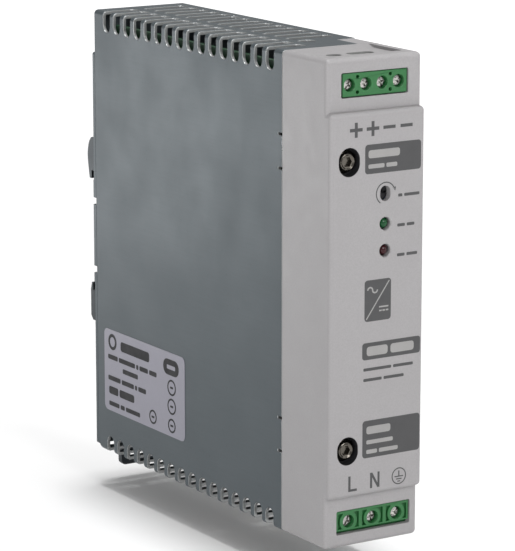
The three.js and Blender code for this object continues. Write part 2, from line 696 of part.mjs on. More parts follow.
// A captive screw that turns in place: its head is in the block's hole and its tip in the clamp.
function terminalScrew(headRadius) {
  const headTop = TERMINAL_FACE + 1;
  const slotHalf = 0.3;
  const tip = CLAMP.back - CLAMP.wall - CLAMP_TRAVEL - 0.1;
  const profile = [
    [0, headTop],
    [headRadius - 0.2, headTop],
    [headRadius, headTop + 0.25],
    [headRadius, headTop + 1.8],
    [1.05, headTop + 1.8],
    [1.05, tip - 0.2],
    [0, tip],
  ];
  const deep = [headTop - 1, headTop + 0.7];
  const driver = block(around(0, headRadius + 1), deep, around(0, slotHalf));
  const cross = block(around(0, slotHalf), deep, around(0, 0.95));
  return cut(turned(0, 0, profile, 12), driver, cross);
}

// The clamp: a ring open along z for the wire, with the screw through its front wall.
function wireClamp() {
  const { halfX, halfZ, front, back, wall } = CLAMP;
  const ring = block(around(0, halfX), [front, back], around(0, halfZ));
  const hole = block(around(0, halfX - wall), [front + wall + 0.2, back - wall], around(0, 5));
  return cut(ring, hole, cylinder("y", 0, 0, 1.25, front - 1, front + 1.5, 10));
}

const terminals = section("terminals");
add(terminals, "output_terminal_block", "terminal", outputBlock());
add(terminals, "input_terminal_block", "terminal", inputBlock());
for (const [name, row, headRadius] of [["output", OUTPUT, 1.5], ["input", INPUT, 1.55]]) {
  for (const k of range(row.poles)) {
    const place = [poleX(row, k), 0, row.z];
    add(terminals, `${name}_terminal_screw_${k + 1}`, "bright", terminalScrew(headRadius), place);
    add(terminals, `${name}_wire_clamp_${k + 1}`, "bright", wireClamp(), place);
  }
}

// ---- Adjuster, lamps and the small boards behind the cover --------------------------------------

const SMALL_BOARD_FRONT = -119.1;

const LAMP = { radius: 1.5, flange: 1.9, tip: PANEL_FRONT + 0.2 };

function lamp() {
  const foot = SMALL_BOARD_FRONT - 0.1;
  return turned(0, 0, [
    [0, LAMP.tip],
    [LAMP.radius * 0.55, LAMP.tip + 0.25],
    [LAMP.radius * 0.87, LAMP.tip + 0.8],
    [LAMP.radius, LAMP.tip + 1.6],
    [LAMP.radius, foot - 1.2],
    [LAMP.flange, foot - 1.2],
    [LAMP.flange, foot],
    [0, foot],
  ]);
}

const TRIMMER = { half: 3.3, front: -122.6, cup: 2.3 };

function trimmerBody() {
  const { half, front, cup } = TRIMMER;
  const deep = [front, SMALL_BOARD_FRONT - 0.1];
  const body = block(around(PANEL_X, half), deep, around(TRIMMER_Z, half));
  return body.subtract(cylinder("y", PANEL_X, TRIMMER_Z, cup, front - 1, front + 1.6, 24));
}

function trimmerRotor() {
  const { front, cup } = TRIMMER;
  const body = cylinder("y", PANEL_X, TRIMMER_Z, cup - 0.3, front - 0.3, front + 1.4, 24);
  const driver = block(around(PANEL_X, 1.7), [front - 1, front + 0.5], around(TRIMMER_Z, 0.35));
  const upwards = [TRIMMER_Z, TRIMMER_Z + 1.6];
  const pointer = block(around(PANEL_X, 0.35), [front - 1, front + 0.3], upwards);
  return cut(body, driver, pointer);
}

const TERMINAL_BOARD = { half: 11.2, inner: 48.5, outer: 62.6 };

function terminalBoard(row, side) {
  const { half, inner, outer } = TERMINAL_BOARD;
  const front = TERMINAL_BACK + 0.1;
  return block(around(row.x, half), [front, front + BOARD_THICK], ordered(side * inner, side * outer));
}

function indicatorBoard() {
  return block([-3.6, 12], [SMALL_BOARD_FRONT, SMALL_BOARD_FRONT + BOARD_THICK], [8, 35]);
}

const behindCover = section("behind_cover");
add(behindCover, "green_indicator_lamp", "green", lamp(), [PANEL_X, 0, GREEN_Z]);
add(behindCover, "red_indicator_lamp", "red", lamp(), [PANEL_X, 0, RED_Z]);
add(behindCover, "voltage_trimmer_body", "blue", trimmerBody());
add(behindCover, "voltage_trimmer_rotor", "ceramic", trimmerRotor());
add(behindCover, "indicator_board", "board", indicatorBoard());
add(behindCover, "output_terminal_board", "board", terminalBoard(OUTPUT, 1));
add(behindCover, "input_terminal_board", "board", terminalBoard(INPUT, -1));

// ---- Main board and what stands on it -----------------------------------------------------------

const BOARD = { back: -8, front: -116.5, notch: -95, endFront: -106.6, top: 61, bottom: -57 };
const STANDOFFS = { upper: [-13, 50], lower: [-92, -51] };

function mainBoard() {
  const notchFrom = SCREW_Z - 6.3;
  const notchTo = SCREW_Z + 6.3;
  const edge = outline([
    [BOARD.back, BOARD.bottom],
    [BOARD.back, BOARD.top],
    [BOARD.endFront, BOARD.top],
    [BOARD.endFront, notchTo],
    [BOARD.notch, notchTo],
    [BOARD.notch, notchFrom],
    [BOARD.front, notchFrom],
    [BOARD.front, -notchFrom],
    [BOARD.notch, -notchFrom],
    [BOARD.notch, -notchTo],
    [BOARD.endFront, -notchTo],
    [BOARD.endFront, BOARD.bottom],
  ]);
  const holes = Object.values(STANDOFFS).map(([y, z]) => cylinder("x", y, z, 1.5, -20, 0, 12));
  return cut(prism("x", edge, BOARD_FACE - BOARD_THICK, BOARD_FACE), ...holes);
}

function standoff() {
  const wall = -HALF_WIDTH + SHEET;
  const body = prism("x", polygon(0, 0, 2.9, 6), wall + 0.02, BOARD_FACE - BOARD_THICK - 0.05);
  return body.subtract(cylinder("x", 0, 0, 1.4, wall + 0.5, 0, 12));
}

function boardScrew() {
  const head = cylinder("x", 0, 0, 2.4, BOARD_FACE + 0.05, BOARD_FACE + 1.7, 16);
  const shank = cylinder("x", 0, 0, 1.2, BOARD_FACE - BOARD_THICK - 1.4, BOARD_FACE + 0.5, 12);
  return cut(head.add(shank), crossAcross(0, 0, BOARD_FACE + 0.8, BOARD_FACE + 3, 2.6));
}

function insulatingSheet() {
  const wall = -HALF_WIDTH + SHEET;
  const sheet = block([wall + 0.35, wall + 0.65], [-98, -10], [BOARD.bottom, 57]);
  const holes = Object.values(STANDOFFS).map(([y, z]) => cylinder("x", y, z, 3.6, -20, 0, 12));
  return cut(sheet, ...holes);
}

const ON_BOARD = BOARD_FACE + 0.1;

// An E-core pair round a wound bobbin. The outer legs stand at both ends in y, and the middle leg
// runs through the winding.
const TRANSFORMER = { y: [-92, -62], coreZ: [-21, 3], height: 20.5, leg: 5, yoke: 5.5, middleHalf: 4 };
const CORE_X = [ON_BOARD + 4, ON_BOARD + TRANSFORMER.height - 1];
const CORE_MIDDLE = (TRANSFORMER.y[0] + TRANSFORMER.y[1]) / 2;
const BASE_OVERHANG = 4; // the bobbin's base beyond the core, above and below

function transformerCore() {
  const { y, coreZ, leg, yoke, middleHalf } = TRANSFORMER;
  const ring = block(CORE_X, y, coreZ);
  const opening = block(around(0, 30), [y[0] + leg, y[1] - leg], [coreZ[0] + yoke, coreZ[1] - yoke]);
  const inner = block([CORE_X[0] + 2, CORE_X[1] - 2], around(CORE_MIDDLE, middleHalf), coreZ);
  return ring.subtract(opening).add(inner);
}

function transformerBobbin() {
  const { y, coreZ, height, leg, yoke, middleHalf } = TRANSFORMER;
  const z = [coreZ[0] - BASE_OVERHANG, coreZ[1] + BASE_OVERHANG];
  const windowY = [y[0] + leg + GAP, y[1] - leg - GAP];
  const windowZ = [coreZ[0] + yoke + GAP, coreZ[1] - yoke - GAP];
  const winding = block([ON_BOARD + 2.4, ON_BOARD + height], windowY, windowZ);
  const base = block([ON_BOARD + 1, ON_BOARD + 3.6], [y[0] + 3, y[1] - 3], z);
  const feet = [z[0], z[1] - 3].map((from) =>
    block([ON_BOARD, ON_BOARD + 3.6], [y[0] + 1, y[1] - 1], [from, from + 3]),
  );
  const legSpace = block(
    [CORE_X[0] + 2 - GAP, CORE_X[1] - 2 + GAP],
    around(CORE_MIDDLE, middleHalf + GAP),
    [z[0] - 1, z[1] + 1],
  );
  return join(winding, base, ...feet).subtract(legSpace);
}

// A common-mode choke: two fat windings on the long legs of a flat frame core.
function commonModeChoke() {
  const y = [-66, -46];
  const z = [-54, -34];
  const x = [ON_BOARD + 5, ON_BOARD + 9];
  const opening = block(around(0, 30), [y[0] + 4, y[1] - 4], [z[0] + 4, z[1] - 4]);
  const windings = [z[0] + 2, z[1] - 2].map((middle) =>
    cylinder("y", ON_BOARD + 7, middle, 4.6, y[0] + 4.4, y[1] - 4.4, 16),
  );
  const feet = [y[0] + 0.2, y[1] - 3.2].map((start) =>
    block([ON_BOARD, x[0] + 1], [start, start + 3], z),
  );
  return join(block(x, y, z).subtract(opening), ...windings, ...feet);
}

function filterCapacitor() {
  const face = roundedRectangle(-89, -71, -45, -34, 1);
  return prism("x", face, ON_BOARD, ON_BOARD + 15, 1);
}

// A radial capacitor: a can with the rolled groove near its base and a scored top.
function can(length, radius) {
  const groove = 2.6;
  return [
    [0, 0],
    [radius, 0],
    [radius, groove - 0.5],
    [radius - 0.45, groove],
    [radius, groove + 0.5],
    [radius, length - 0.5],
    [radius - 0.5, length],
    [radius - 1.3, length],
    [radius - 1.5, length - 0.3],
    [0, length - 0.3],
  ];
}

function bulkCapacitor() {
  const lying = can(32, 8.6).map(([radius, at]) => [radius, -9.5 - at]);
  return turned(ON_BOARD + 9, -38, lying, 20);
}

function outputCapacitor() {
  return turnedAcross(0, 0, can(20, 5));
}

// A toroid standing flat, with the ridges of its winding round it.
function outputChoke() {
  const [y, z] = [-42, 37];
  const [radius, ridges] = [9.2, 12];
  const beyond = [ON_BOARD - 1, ON_BOARD + 9];
  const ring = cylinder("x", y, z, radius, ON_BOARD + 0.6, ON_BOARD + 8, 24);
  const eye = cylinder("x", y, z, 3.6, ...beyond, 16);
  const grooves = range(ridges).map((k) => {
    const angle = (2 * Math.PI * k) / ridges;
    const middle = [y + radius * Math.cos(angle), z + radius * Math.sin(angle)];
    return cylinder("x", ...middle, 0.8, ...beyond, 4);
  });
  return cut(ring, eye, ...grooves);
}

// A finned plate that stands on the board, its flat side towards the package that it cools.
function heatSink(length, fins) {
  const height = 21;
  const thick = 1.2;
  const pitch = (length - thick) / (fins - 1);
  const blades = range(fins).map((k) => block([2, height], [k * pitch, k * pitch + thick], [-5, 0.5]));
  return join(block([0, height], [0, length], [0, 2]), ...blades);
}

// A flat power package with its metal tab, lying against a heat sink.
function powerPackage() {
  const body = block([3.5, 12.5], around(0, 5), [1.2, 4.4]);
  const tab = block([3.5, 18.5], around(0, 5), [0, 1.3]);
  const eye = cylinder("z", 15.6, 0, 1.8, -1, 3, 12);
  const legs = [-2.54, 0, 2.54].map((y) => block([0, 4], around(y, 0.4), [1.6, 2.2]));
  return join(body, tab, ...legs).subtract(eye);
}

function bridgeRectifier() {
  const body = block([ON_BOARD + 3, ON_BOARD + 15], [-41, -24], [-55, -51.4]);
  const legs = range(4).map((k) =>
    block([ON_BOARD, ON_BOARD + 4], around(-39.1 + 4.6 * k, 0.5), [-53.5, -52.9]),
  );
  return join(body, ...legs);
}

function fuse() {
  const from = -88;
  const cap = { radius: 2.9, length: 5 };
  const tube = { radius: 2.6, length: 20 };
  return turned(ON_BOARD + 4, -51, [
    [0, from],
    [cap.radius, from],
    [cap.radius, from + cap.length],
    [tube.radius, from + cap.length],
    [tube.radius, from + tube.length - cap.length],
    [cap.radius, from + tube.length - cap.length],
    [cap.radius, from + tube.length],
    [0, from + tube.length],
  ]);
}

const boardAssembly = section("board_assembly");
add(boardAssembly, "main_circuit_board", "board", mainBoard());
for (const [end, [y, z]] of Object.entries(STANDOFFS)) {
  add(boardAssembly, `board_standoff_${end}`, "bright", standoff(), [0, y, z]);
  add(boardAssembly, `board_screw_${end}`, "bright", boardScrew(), [0, y, z]);
}
add(boardAssembly, "insulating_sheet", "fibre", insulatingSheet());
add(boardAssembly, "transformer_core", "ferrite", transformerCore());
add(boardAssembly, "transformer_bobbin", "tape", transformerBobbin());
add(boardAssembly, "common_mode_choke", "copper", commonModeChoke());
add(boardAssembly, "mains_filter_capacitor", "tape", filterCapacitor());
add(boardAssembly, "bulk_capacitor", "sleeve", bulkCapacitor());
add(boardAssembly, "output_capacitor_1", "sleeve", outputCapacitor(), [ON_BOARD, -86, 23]);
add(boardAssembly, "output_capacitor_2", "sleeve", outputCapacitor(), [ON_BOARD, -74, 23]);
add(boardAssembly, "output_choke", "copper", outputChoke());
add(boardAssembly, "transistor_heat_sink", "aluminium", heatSink(30, 7), [ON_BOARD, -44, -20]);
add(boardAssembly, "switching_transistor", "epoxy", powerPackage(), [ON_BOARD, -29, -17.8]);
add(boardAssembly, "rectifier_heat_sink", "aluminium", heatSink(34, 8), [ON_BOARD, -56, 13]);
add(boardAssembly, "output_rectifier", "epoxy", powerPackage(), [ON_BOARD, -39, 15.2]);
add(boardAssembly, "bridge_rectifier", "epoxy", bridgeRectifier());
add(boardAssembly, "fuse", "ceramic", fuse());

// ---- Rating label -------------------------------------------------------------------------------

const LABEL = { back: -5.8, front: -51.6, bottom: -52, top: -27.6, thick: 0.15 };

const label = roundedRectangle(LABEL.front, LABEL.back, LABEL.bottom, LABEL.top, 1.6);
const sticker = prism("x", label, -HALF_WIDTH - LABEL.thick, -HALF_WIDTH, 2);
add(section("markings"), "rating_label", "label", sticker);

export default part;
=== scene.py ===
"""A slim rail-mounted power supply: folded steel case, moulded front cover, screw terminals and latch.

Pieces are built in millimetres and scaled to metres when they are placed.
"""

import json
import math

import bmesh
import bpy
from mathutils import Matrix, Vector

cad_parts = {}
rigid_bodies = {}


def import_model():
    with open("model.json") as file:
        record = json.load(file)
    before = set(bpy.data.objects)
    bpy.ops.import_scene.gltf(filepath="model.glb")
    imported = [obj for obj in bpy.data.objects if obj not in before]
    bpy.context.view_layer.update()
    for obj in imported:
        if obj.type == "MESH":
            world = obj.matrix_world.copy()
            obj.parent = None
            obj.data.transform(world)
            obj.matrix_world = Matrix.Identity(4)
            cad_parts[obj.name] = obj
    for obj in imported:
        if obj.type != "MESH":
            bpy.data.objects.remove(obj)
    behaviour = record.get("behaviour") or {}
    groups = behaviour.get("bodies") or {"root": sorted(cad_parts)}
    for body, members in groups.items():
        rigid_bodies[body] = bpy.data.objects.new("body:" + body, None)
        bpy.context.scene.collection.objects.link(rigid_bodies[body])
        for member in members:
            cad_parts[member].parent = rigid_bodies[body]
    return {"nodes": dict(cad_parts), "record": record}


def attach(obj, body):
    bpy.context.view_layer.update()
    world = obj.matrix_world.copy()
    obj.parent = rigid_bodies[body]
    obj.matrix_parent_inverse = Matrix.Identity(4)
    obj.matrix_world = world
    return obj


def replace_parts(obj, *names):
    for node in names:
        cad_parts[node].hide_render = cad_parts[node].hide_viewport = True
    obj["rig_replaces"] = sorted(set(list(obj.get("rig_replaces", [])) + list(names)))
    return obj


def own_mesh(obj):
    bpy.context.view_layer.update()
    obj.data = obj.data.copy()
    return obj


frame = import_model()
nodes = frame["nodes"]
bpy.context.view_layer.update()

MM = 0.001
SUPPLY = "supply"

# ---- Dimensions, in millimetres ------------------------------------------------------------------

HALF_WIDTH = 14.75
HALF_HEIGHT = 65
SHEET = 1
CASE_FRONT = -101.8
CASE_BACK = -1.6
COVER_BACK = -102.1
TERMINAL_FRONT = -123
PANEL_FRONT = -124.94
PANEL_HALF_HEIGHT = 51.1
COVER_WALL = 1.8
COVER_ROUNDING = 1.3
COVER_SCREW = (-9, 38.3)
PANEL_X = 2.35
TRIMMER_Z = 29.2
GREEN_Z = 21.2
RED_Z = 14.1
OUTPUT = {"x": 0.07, "z": 57.9, "pitch": 5.08, "poles": 4, "half": (10.42, 3.28)}
INPUT = {"x": 0.62, "z": -58.2, "pitch": 7.62, "poles": 3, "half": (11.7, 3.25)}
TERMINAL_FACE = -122.6
WELL_BOTTOM = -122
BEHIND_PANEL = -120
WIRE_SLOT = (-113.8, -110.2)
SIDE_SCREW_Y = (-24, -78)
SIDE_SCREW_INSET = 4.6
RIVET_X = 8
RIVET_Z = 23


def pole_x(row, k):
    return row["x"] + (k - (row["poles"] - 1) / 2) * row["pitch"]


# ---- Materials -----------------------------------------------------------------------------------


def linear(*srgb):
    """An sRGB colour, 0 to 255, as scene-linear red, green, blue and alpha."""
    values = [c / 255 for c in srgb]
    return [c / 12.92 if c <= 0.04045 else ((c + 0.055) / 1.055) ** 2.4 for c in values] + [1]


class Nodes:
    """A material's node tree, built by naming node kinds and joining sockets."""

    def __init__(self, name):
        self.material = bpy.data.materials.new(name)
        self.material.use_nodes = True
        self.tree = self.material.node_tree
        self.tree.nodes.clear()
        self.shader = self.node("ShaderNodeBsdfPrincipled")
        output = self.node("ShaderNodeOutputMaterial")
        self.join(self.shader.outputs[0], output.inputs["Surface"])
        self.place = self.node("ShaderNodeTexCoord").outputs["Object"]

    def node(self, kind, **values):
        made = self.tree.nodes.new(kind)
        for key, value in values.items():
            setattr(made, key, value)
        return made

    def join(self, source, target):
        self.tree.links.new(source, target)

    def stretched(self, scale):
        mapping = self.node("ShaderNodeMapping")
        mapping.inputs["Scale"].default_value = scale
        self.join(self.place, mapping.inputs["Vector"])
        return mapping.outputs["Vector"]

    def noise(self, size, detail=3.0, rough=0.55, stretch=None):
        """Noise whose features are about size millimetres across, as a value from 0 to 1."""
        made = self.node("ShaderNodeTexNoise")
        made.inputs["Scale"].default_value = 1 / (size * MM)
        made.inputs["Detail"].default_value = detail
        made.inputs["Roughness"].default_value = rough
        self.join(self.stretched(stretch) if stretch else self.place, made.inputs["Vector"])
        return made.outputs["Fac"]

    def ranged(self, value, low, high, start=0.3, end=0.7):
        """value, between start and end, as a number between low and high."""
        made = self.node("ShaderNodeMapRange")
        made.inputs["From Min"].default_value = start
        made.inputs["From Max"].default_value = end
        made.inputs["To Min"].default_value = low
        made.inputs["To Max"].default_value = high
        self.join(value, made.inputs["Value"])
        return made.outputs["Result"]

    def sum(self, first, second):
        made = self.node("ShaderNodeMath", operation="ADD")
        self.join(first, made.inputs[0])
        self.join(second, made.inputs[1])
        return made.outputs[0]

    def mixed(self, factor, first, second):
        """Between two colours, each a list of numbers or a socket."""
        made = self.node("ShaderNodeMix", data_type="RGBA")
        self.join(factor, made.inputs[0])
        for socket, value in ((made.inputs[6], first), (made.inputs[7], second)):
            if isinstance(value, list):
                socket.default_value = value
            else:
                self.join(value, socket)
        return made.outputs[2]

    def bump(self, height, distance):
        made = self.node("ShaderNodeBump")
        made.inputs["Distance"].default_value = distance * MM
        self.join(height, made.inputs["Height"])
        return made.outputs["Normal"]

    def set(self, **values):
        for key, value in values.items():
            self.shader.inputs[key.replace("_", " ")].default_value = value


def shade(color, factor):
    return [c * factor for c in color[:3]] + [1]


MOULDED_SPREAD = 0.06  # how far the roughness of moulded plastic strays either way


def moulded(name, color, roughness, grain=0.35, relief=0.02, fleck=0.05, **sockets):
    """Moulded plastic: fine spark-eroded grain, faint blotches and slightly uneven gloss."""
    made = Nodes(name)
    fine = made.noise(grain, 2.0)
    broad = made.noise(14, 3.0)
    smudge = made.noise(5, 4.0, 0.65)
    base = made.mixed(made.ranged(fine, 0, 1), shade(color, 1 - fleck), shade(color, 1 + fleck))
    worn = made.mixed(made.ranged(broad, 0, 0.5), base, shade(color, 0.94))
    made.join(worn, made.shader.inputs["Base Color"])
    gloss = made.ranged(smudge, roughness - MOULDED_SPREAD, roughness + MOULDED_SPREAD)
    made.join(gloss, made.shader.inputs["Roughness"])
    made.join(made.bump(fine, relief), made.shader.inputs["Normal"])
    made.set(**sockets)
    return made.material


def metal(name, color, roughness, along=(1, 1, 1), size=0.5, relief=0.006, spread=0.07, metallic=1.0,
          fleck=0.06, speckle=0.0, **sockets):
    """Sheet or turned metal: fine lines along one direction, faint cloudiness and a few dull specks."""
    made = Nodes(name)
    lines = made.noise(size, 3.0, 0.6, along)
    cloud = made.noise(18, 3.0, 0.5)
    specks = made.noise(0.7, 2.0, 0.6)
    base = made.mixed(made.ranged(lines, 0, 1), shade(color, 1 - fleck), shade(color, 1 + fleck))
    clouded = made.mixed(made.ranged(cloud, 0, 0.6), base, shade(color, 0.92))
    dulled = made.mixed(made.ranged(specks, 0, speckle, 0.62, 0.75), clouded, shade(color, 0.7))
    made.join(dulled, made.shader.inputs["Base Color"])
    uneven = made.sum(
        made.ranged(cloud, roughness - spread, roughness + spread),
        made.ranged(specks, 0, 0.08, 0.6, 0.75),
    )
    made.join(uneven, made.shader.inputs["Roughness"])
    made.join(made.bump(lines, relief), made.shader.inputs["Normal"])
    made.set(Metallic=metallic, **sockets)
    return made.material


def lens(name, color):
    """A tinted lens with faint clouds, fine waves and slightly uneven gloss."""
    made = Nodes(name)
    cloud = made.noise(0.9, 2.0)
    made.join(
        made.mixed(made.ranged(cloud, 0, 1), shade(color, 0.75), shade(color, 1.25)),
        made.shader.inputs["Base Color"],
    )
    made.join(made.ranged(cloud, 0.08, 0.16), made.shader.inputs["Roughness"])
    made.join(made.bump(made.noise(0.6, 1.0), 0.01), made.shader.inputs["Normal"])
    made.set(Specular_IOR_Level=0.35)
    return made.material


def printed(name, color, roughness=0.45):
    """Ink: nearly even, with paler pinholes and faint darker patches."""
    made = Nodes(name)
    pinholes = made.noise(0.16, 2.0, 0.7)
    worn = made.noise(3.5, 3.0, 0.6)
    thin = made.mixed(made.ranged(pinholes, 0, 1, 0.66, 0.8), color, shade(color, 1.35))
    made.join(
        made.mixed(made.ranged(worn, 0, 0.5), thin, shade(color, 0.88)),
        made.shader.inputs["Base Color"],
    )
    made.join(made.ranged(worn, roughness - 0.08, roughness + 0.08), made.shader.inputs["Roughness"])
    made.join(made.bump(pinholes, 0.004), made.shader.inputs["Normal"])
    made.set(Specular_IOR_Level=0.2)
    return made.material


def wound(name, color, pitch, across=(1, 1, 1), gloss=0.3, metallic=0.0):
    """Turns of wire or tape: ridges a pitch apart along one direction, with painted shade in the grooves
    between turns and a faint painted highlight on the crests.
    """
    made = Nodes(name)
    wave = made.node("ShaderNodeTexWave", wave_type="BANDS", bands_direction="DIAGONAL")
    wave.inputs["Scale"].default_value = 1 / (pitch * MM * 3.2)
    wave.inputs["Distortion"].default_value = 0.6
    wave.inputs["Detail"].default_value = 1.0
    made.join(made.stretched(across), wave.inputs["Vector"])
    ridge = wave.outputs["Fac"]
    # Painted shade and highlight: the colour darkens in the grooves between turns and lightens a little on
    # the crests.
    made.join(made.mixed(ridge, shade(color, 0.6), shade(color, 1.1)), made.shader.inputs["Base Color"])
    made.join(made.ranged(ridge, gloss + 0.15, gloss, 0, 1), made.shader.inputs["Roughness"])
    made.join(made.bump(ridge, 0.12), made.shader.inputs["Normal"])
    made.set(Metallic=metallic)
    return made.material


ALONG_Y = (1, 0.04, 1)
FINISH = {
    "case_steel": metal("case_steel_satin", linear(75, 82, 86), 0.4, ALONG_Y, 0.5, 0.004, 0.04, 0.3,
                        0.04, 0.25, Specular_IOR_Level=0.2),
    "bracket_steel": metal("bracket_steel_dark", linear(56, 60, 63), 0.42, (0.05, 1, 1), 0.5, 0.006,
                           0.06, 0.85, 0.06, 0.4),
    "bright_steel": metal("bright_zinc_plate", linear(172, 171, 168), 0.22, size=0.35, relief=0.004,
                          speckle=0.3),
    "cover_plastic": moulded("cover_plastic_grey", linear(146, 144, 145), 0.46, 0.4, 0.014),
    "terminal_plastic": moulded("terminal_plastic_green", linear(32, 98, 49), 0.38, 0.3, 0.012),
    "green_lens": lens("lens_green", linear(4, 66, 32)),
    "red_lens": lens("lens_red", linear(44, 5, 10)),
    "trimmer_plastic": moulded("trimmer_plastic_blue", linear(52, 92, 150), 0.4, 0.25, 0.01),
    "white_ceramic": moulded("ceramic_white", linear(222, 218, 206), 0.35, 0.3, 0.008),
    "board": moulded("board_green_mask", linear(18, 60, 34), 0.4, 0.5, 0.02),
    "insulation": moulded("insulation_sheet", linear(172, 168, 156), 0.6, 0.6, 0.02),
    "ferrite": moulded("ferrite_core", linear(48, 48, 52), 0.62, 0.3, 0.03, fleck=0.15),
    "winding_tape": wound("winding_tape_yellow", linear(214, 178, 76), 3.2, (0, 0.3, 1)),
    "copper_winding": wound("copper_wire", linear(186, 112, 62), 0.9, (0, 1, 1), 0.25, 0.8),
    "capacitor_sleeve": moulded("capacitor_sleeve_blue", linear(34, 44, 72), 0.28, 0.8, 0.01),
    "heat_sink": metal("heat_sink_aluminium", linear(182, 184, 186), 0.36, (1, 1, 0.05), 0.4, 0.008),
    "epoxy": moulded("epoxy_black", linear(34, 34, 37), 0.5, 0.25, 0.015, fleck=0.12),
    "label_film": moulded("label_film_pale", linear(128, 127, 138), 0.38, 0.8, 0.004, fleck=0.02),
}
INK_DARK = printed("ink_dark_grey", linear(74, 74, 75))
INK_LABEL = printed("ink_label_black", linear(22, 22, 26), 0.5)
INK_PALE = printed("ink_pale", linear(146, 145, 144))
# Painted shade: the cover bolts' steel is darkened to stand in for the shade and dark reflections in their
# wells.
SHADED_BOLT_STEEL = metal("socket_bolt_dark", linear(96, 92, 86), 0.2, size=0.3, relief=0.004, speckle=0.3)
CUT_EDGE = metal("sheet_cut_edge", linear(176, 178, 178), 0.34, size=0.4, relief=0.01, metallic=0.7)

SLOT_OF = {entry["node"]: entry["material_slot"] for entry in frame["record"]["subparts"]}

# ---- Meshes --------------------------------------------------------------------------------------


def link(name, mesh):
    made = bpy.data.objects.new(name, mesh)
    bpy.context.scene.collection.objects.link(made)
    return made


def evaluated_mesh(obj):
    bpy.context.view_layer.update()
    graph = bpy.context.evaluated_depsgraph_get()
    return bpy.data.meshes.new_from_object(obj.evaluated_get(graph))


def bake(obj):
    """Puts an object's modifiers into its mesh."""
    mesh = evaluated_mesh(obj)
    obj.modifiers.clear()
    obj.data = mesh
    return obj


def from_bmesh(name, bm):
    bmesh.ops.recalc_face_normals(bm, faces=bm.faces)
    mesh = bpy.data.meshes.new(name)
    bm.to_mesh(mesh)
    bm.free()
    return link(name, mesh)


def rounded_loop(u0, u1, v0, v1, radius, steps=6):
    """A rectangle's outline with round corners, as points."""
    corners = [
        (u1 - radius, v0 + radius, -90),
        (u1 - radius, v1 - radius, 0),
        (u0 + radius, v1 - radius, 90),
        (u0 + radius, v0 + radius, 180),
    ]
    points = []
    for u, v, start in corners:
        for i in range(steps + 1):
            angle = math.radians(start + 90 * i / steps)
            points.append((u + radius * math.cos(angle), v + radius * math.sin(angle)))
    return points


def stadium(u0, u1, v0, v1, steps=8):
    return rounded_loop(u0, u1, v0, v1, min(u1 - u0, v1 - v0) / 2 - 1e-4, steps)


def circle(u, v, radius, count=32):
    angles = [2 * math.pi * i / count for i in range(count)]
    return [(u + radius * math.cos(a), v + radius * math.sin(a)) for a in angles]


def bar(u0, u1, v0, v1):
    return [(u0, v0), (u1, v0), (u1, v1), (u0, v1)]


def arc_band(u, v, radius, width, start, end, steps=20):
    """A band along a circle, from one angle to another in degrees."""
    angles = [math.radians(start + (end - start) * i / steps) for i in range(steps + 1)]
    far, near = radius + width / 2, radius - width / 2
    outer = [(u + far * math.cos(a), v + far * math.sin(a)) for a in angles]
    inner = [(u + near * math.cos(a), v + near * math.sin(a)) for a in angles]
    return outer + inner[::-1]


# Turns a flat outline (u, v) with thickness w: (u, v) is (y, z), (x, z) or (x, y).
FACING = {
    "x": Matrix(((0, 0, 1), (1, 0, 0), (0, 1, 0))),
    "y": Matrix(((1, 0, 0), (0, 0, -1), (0, 1, 0))),
    "z": Matrix.Identity(3),
}


def prism(name, axis, loops, low, high, edge=0.0):
    """Filled outlines with their holes, thick from low to high along the axis."""
    curve = bpy.data.curves.new(name, "CURVE")
    curve.dimensions = "2D"
    curve.fill_mode = "BOTH"
    curve.extrude = (high - low) / 2 - edge
    curve.bevel_depth = edge
    curve.bevel_resolution = 1
    curve.offset = -edge
    for loop in loops:
        spline = curve.splines.new("POLY")
        spline.points.add(len(loop) - 1)
        for point, (u, v) in zip(spline.points, loop):
            point.co = (u, v, 0, 1)
        spline.use_cyclic_u = True
    holder = link(name, curve)
    mesh = evaluated_mesh(holder)
    bpy.data.objects.remove(holder)
    bm = bmesh.new()
    bm.from_mesh(mesh)
    bmesh.ops.remove_doubles(bm, verts=bm.verts, dist=1e-4)
    middle = {"x": (1, 0, 0), "y": (0, 1, 0), "z": (0, 0, 1)}[axis]
    bmesh.ops.transform(bm, matrix=FACING[axis].to_4x4(), verts=bm.verts)
    bmesh.ops.translate(bm, vec=Vector(middle) * (low + high) / 2, verts=bm.verts)
    return from_bmesh(name, bm)


def block(name, xs, ys, zs):
    bm = bmesh.new()
    bmesh.ops.create_cube(bm, size=1)
    for vert in bm.verts:
        vert.co = [a + (b - a) * (c + 0.5) for (a, b), c in zip((xs, ys, zs), vert.co)]
    return from_bmesh(name, bm)


def lathe(name, profile, count=32, axis="y", at=(0, 0)):
    """Turned about a line along y at (x, z), or along x at (y, z). The profile is [radius, place]."""
    bm = bmesh.new()
    rings = []
    for radius, place in profile:
        if radius == 0:
            rings.append([bm.verts.new((0, place, 0))])
            continue
        angles = [2 * math.pi * i / count for i in range(count)]
        rings.append([bm.verts.new((radius * math.cos(a), place, radius * math.sin(a))) for a in angles])
    for first, second in zip(rings, rings[1:]):
        for i in range(count):
            j = (i + 1) % count
            near = [first[i % len(first)], first[j % len(first)]]
            far = [second[j % len(second)], second[i % len(second)]]
            bm.faces.new(dict.fromkeys(near + far))
    if axis == "x":
        quarter_turn = Matrix(((0, 1, 0), (-1, 0, 0), (0, 0, 1))).to_4x4()
        bmesh.ops.transform(bm, matrix=quarter_turn, verts=bm.verts)
        shift = (0, at[0], at[1])
    else:
        shift = (at[0], 0, at[1])
    bmesh.ops.translate(bm, vec=shift, verts=bm.verts)
    return from_bmesh(name, bm)


def carve(obj, tools, operation="DIFFERENCE"):
    for tool in tools:
        cutter = obj.modifiers.new("cut", "BOOLEAN")
        cutter.operation = operation
        cutter.solver = "EXACT"
        cutter.object = tool
    bake(obj)
    for tool in tools:
        bpy.data.objects.remove(tool)
    return obj


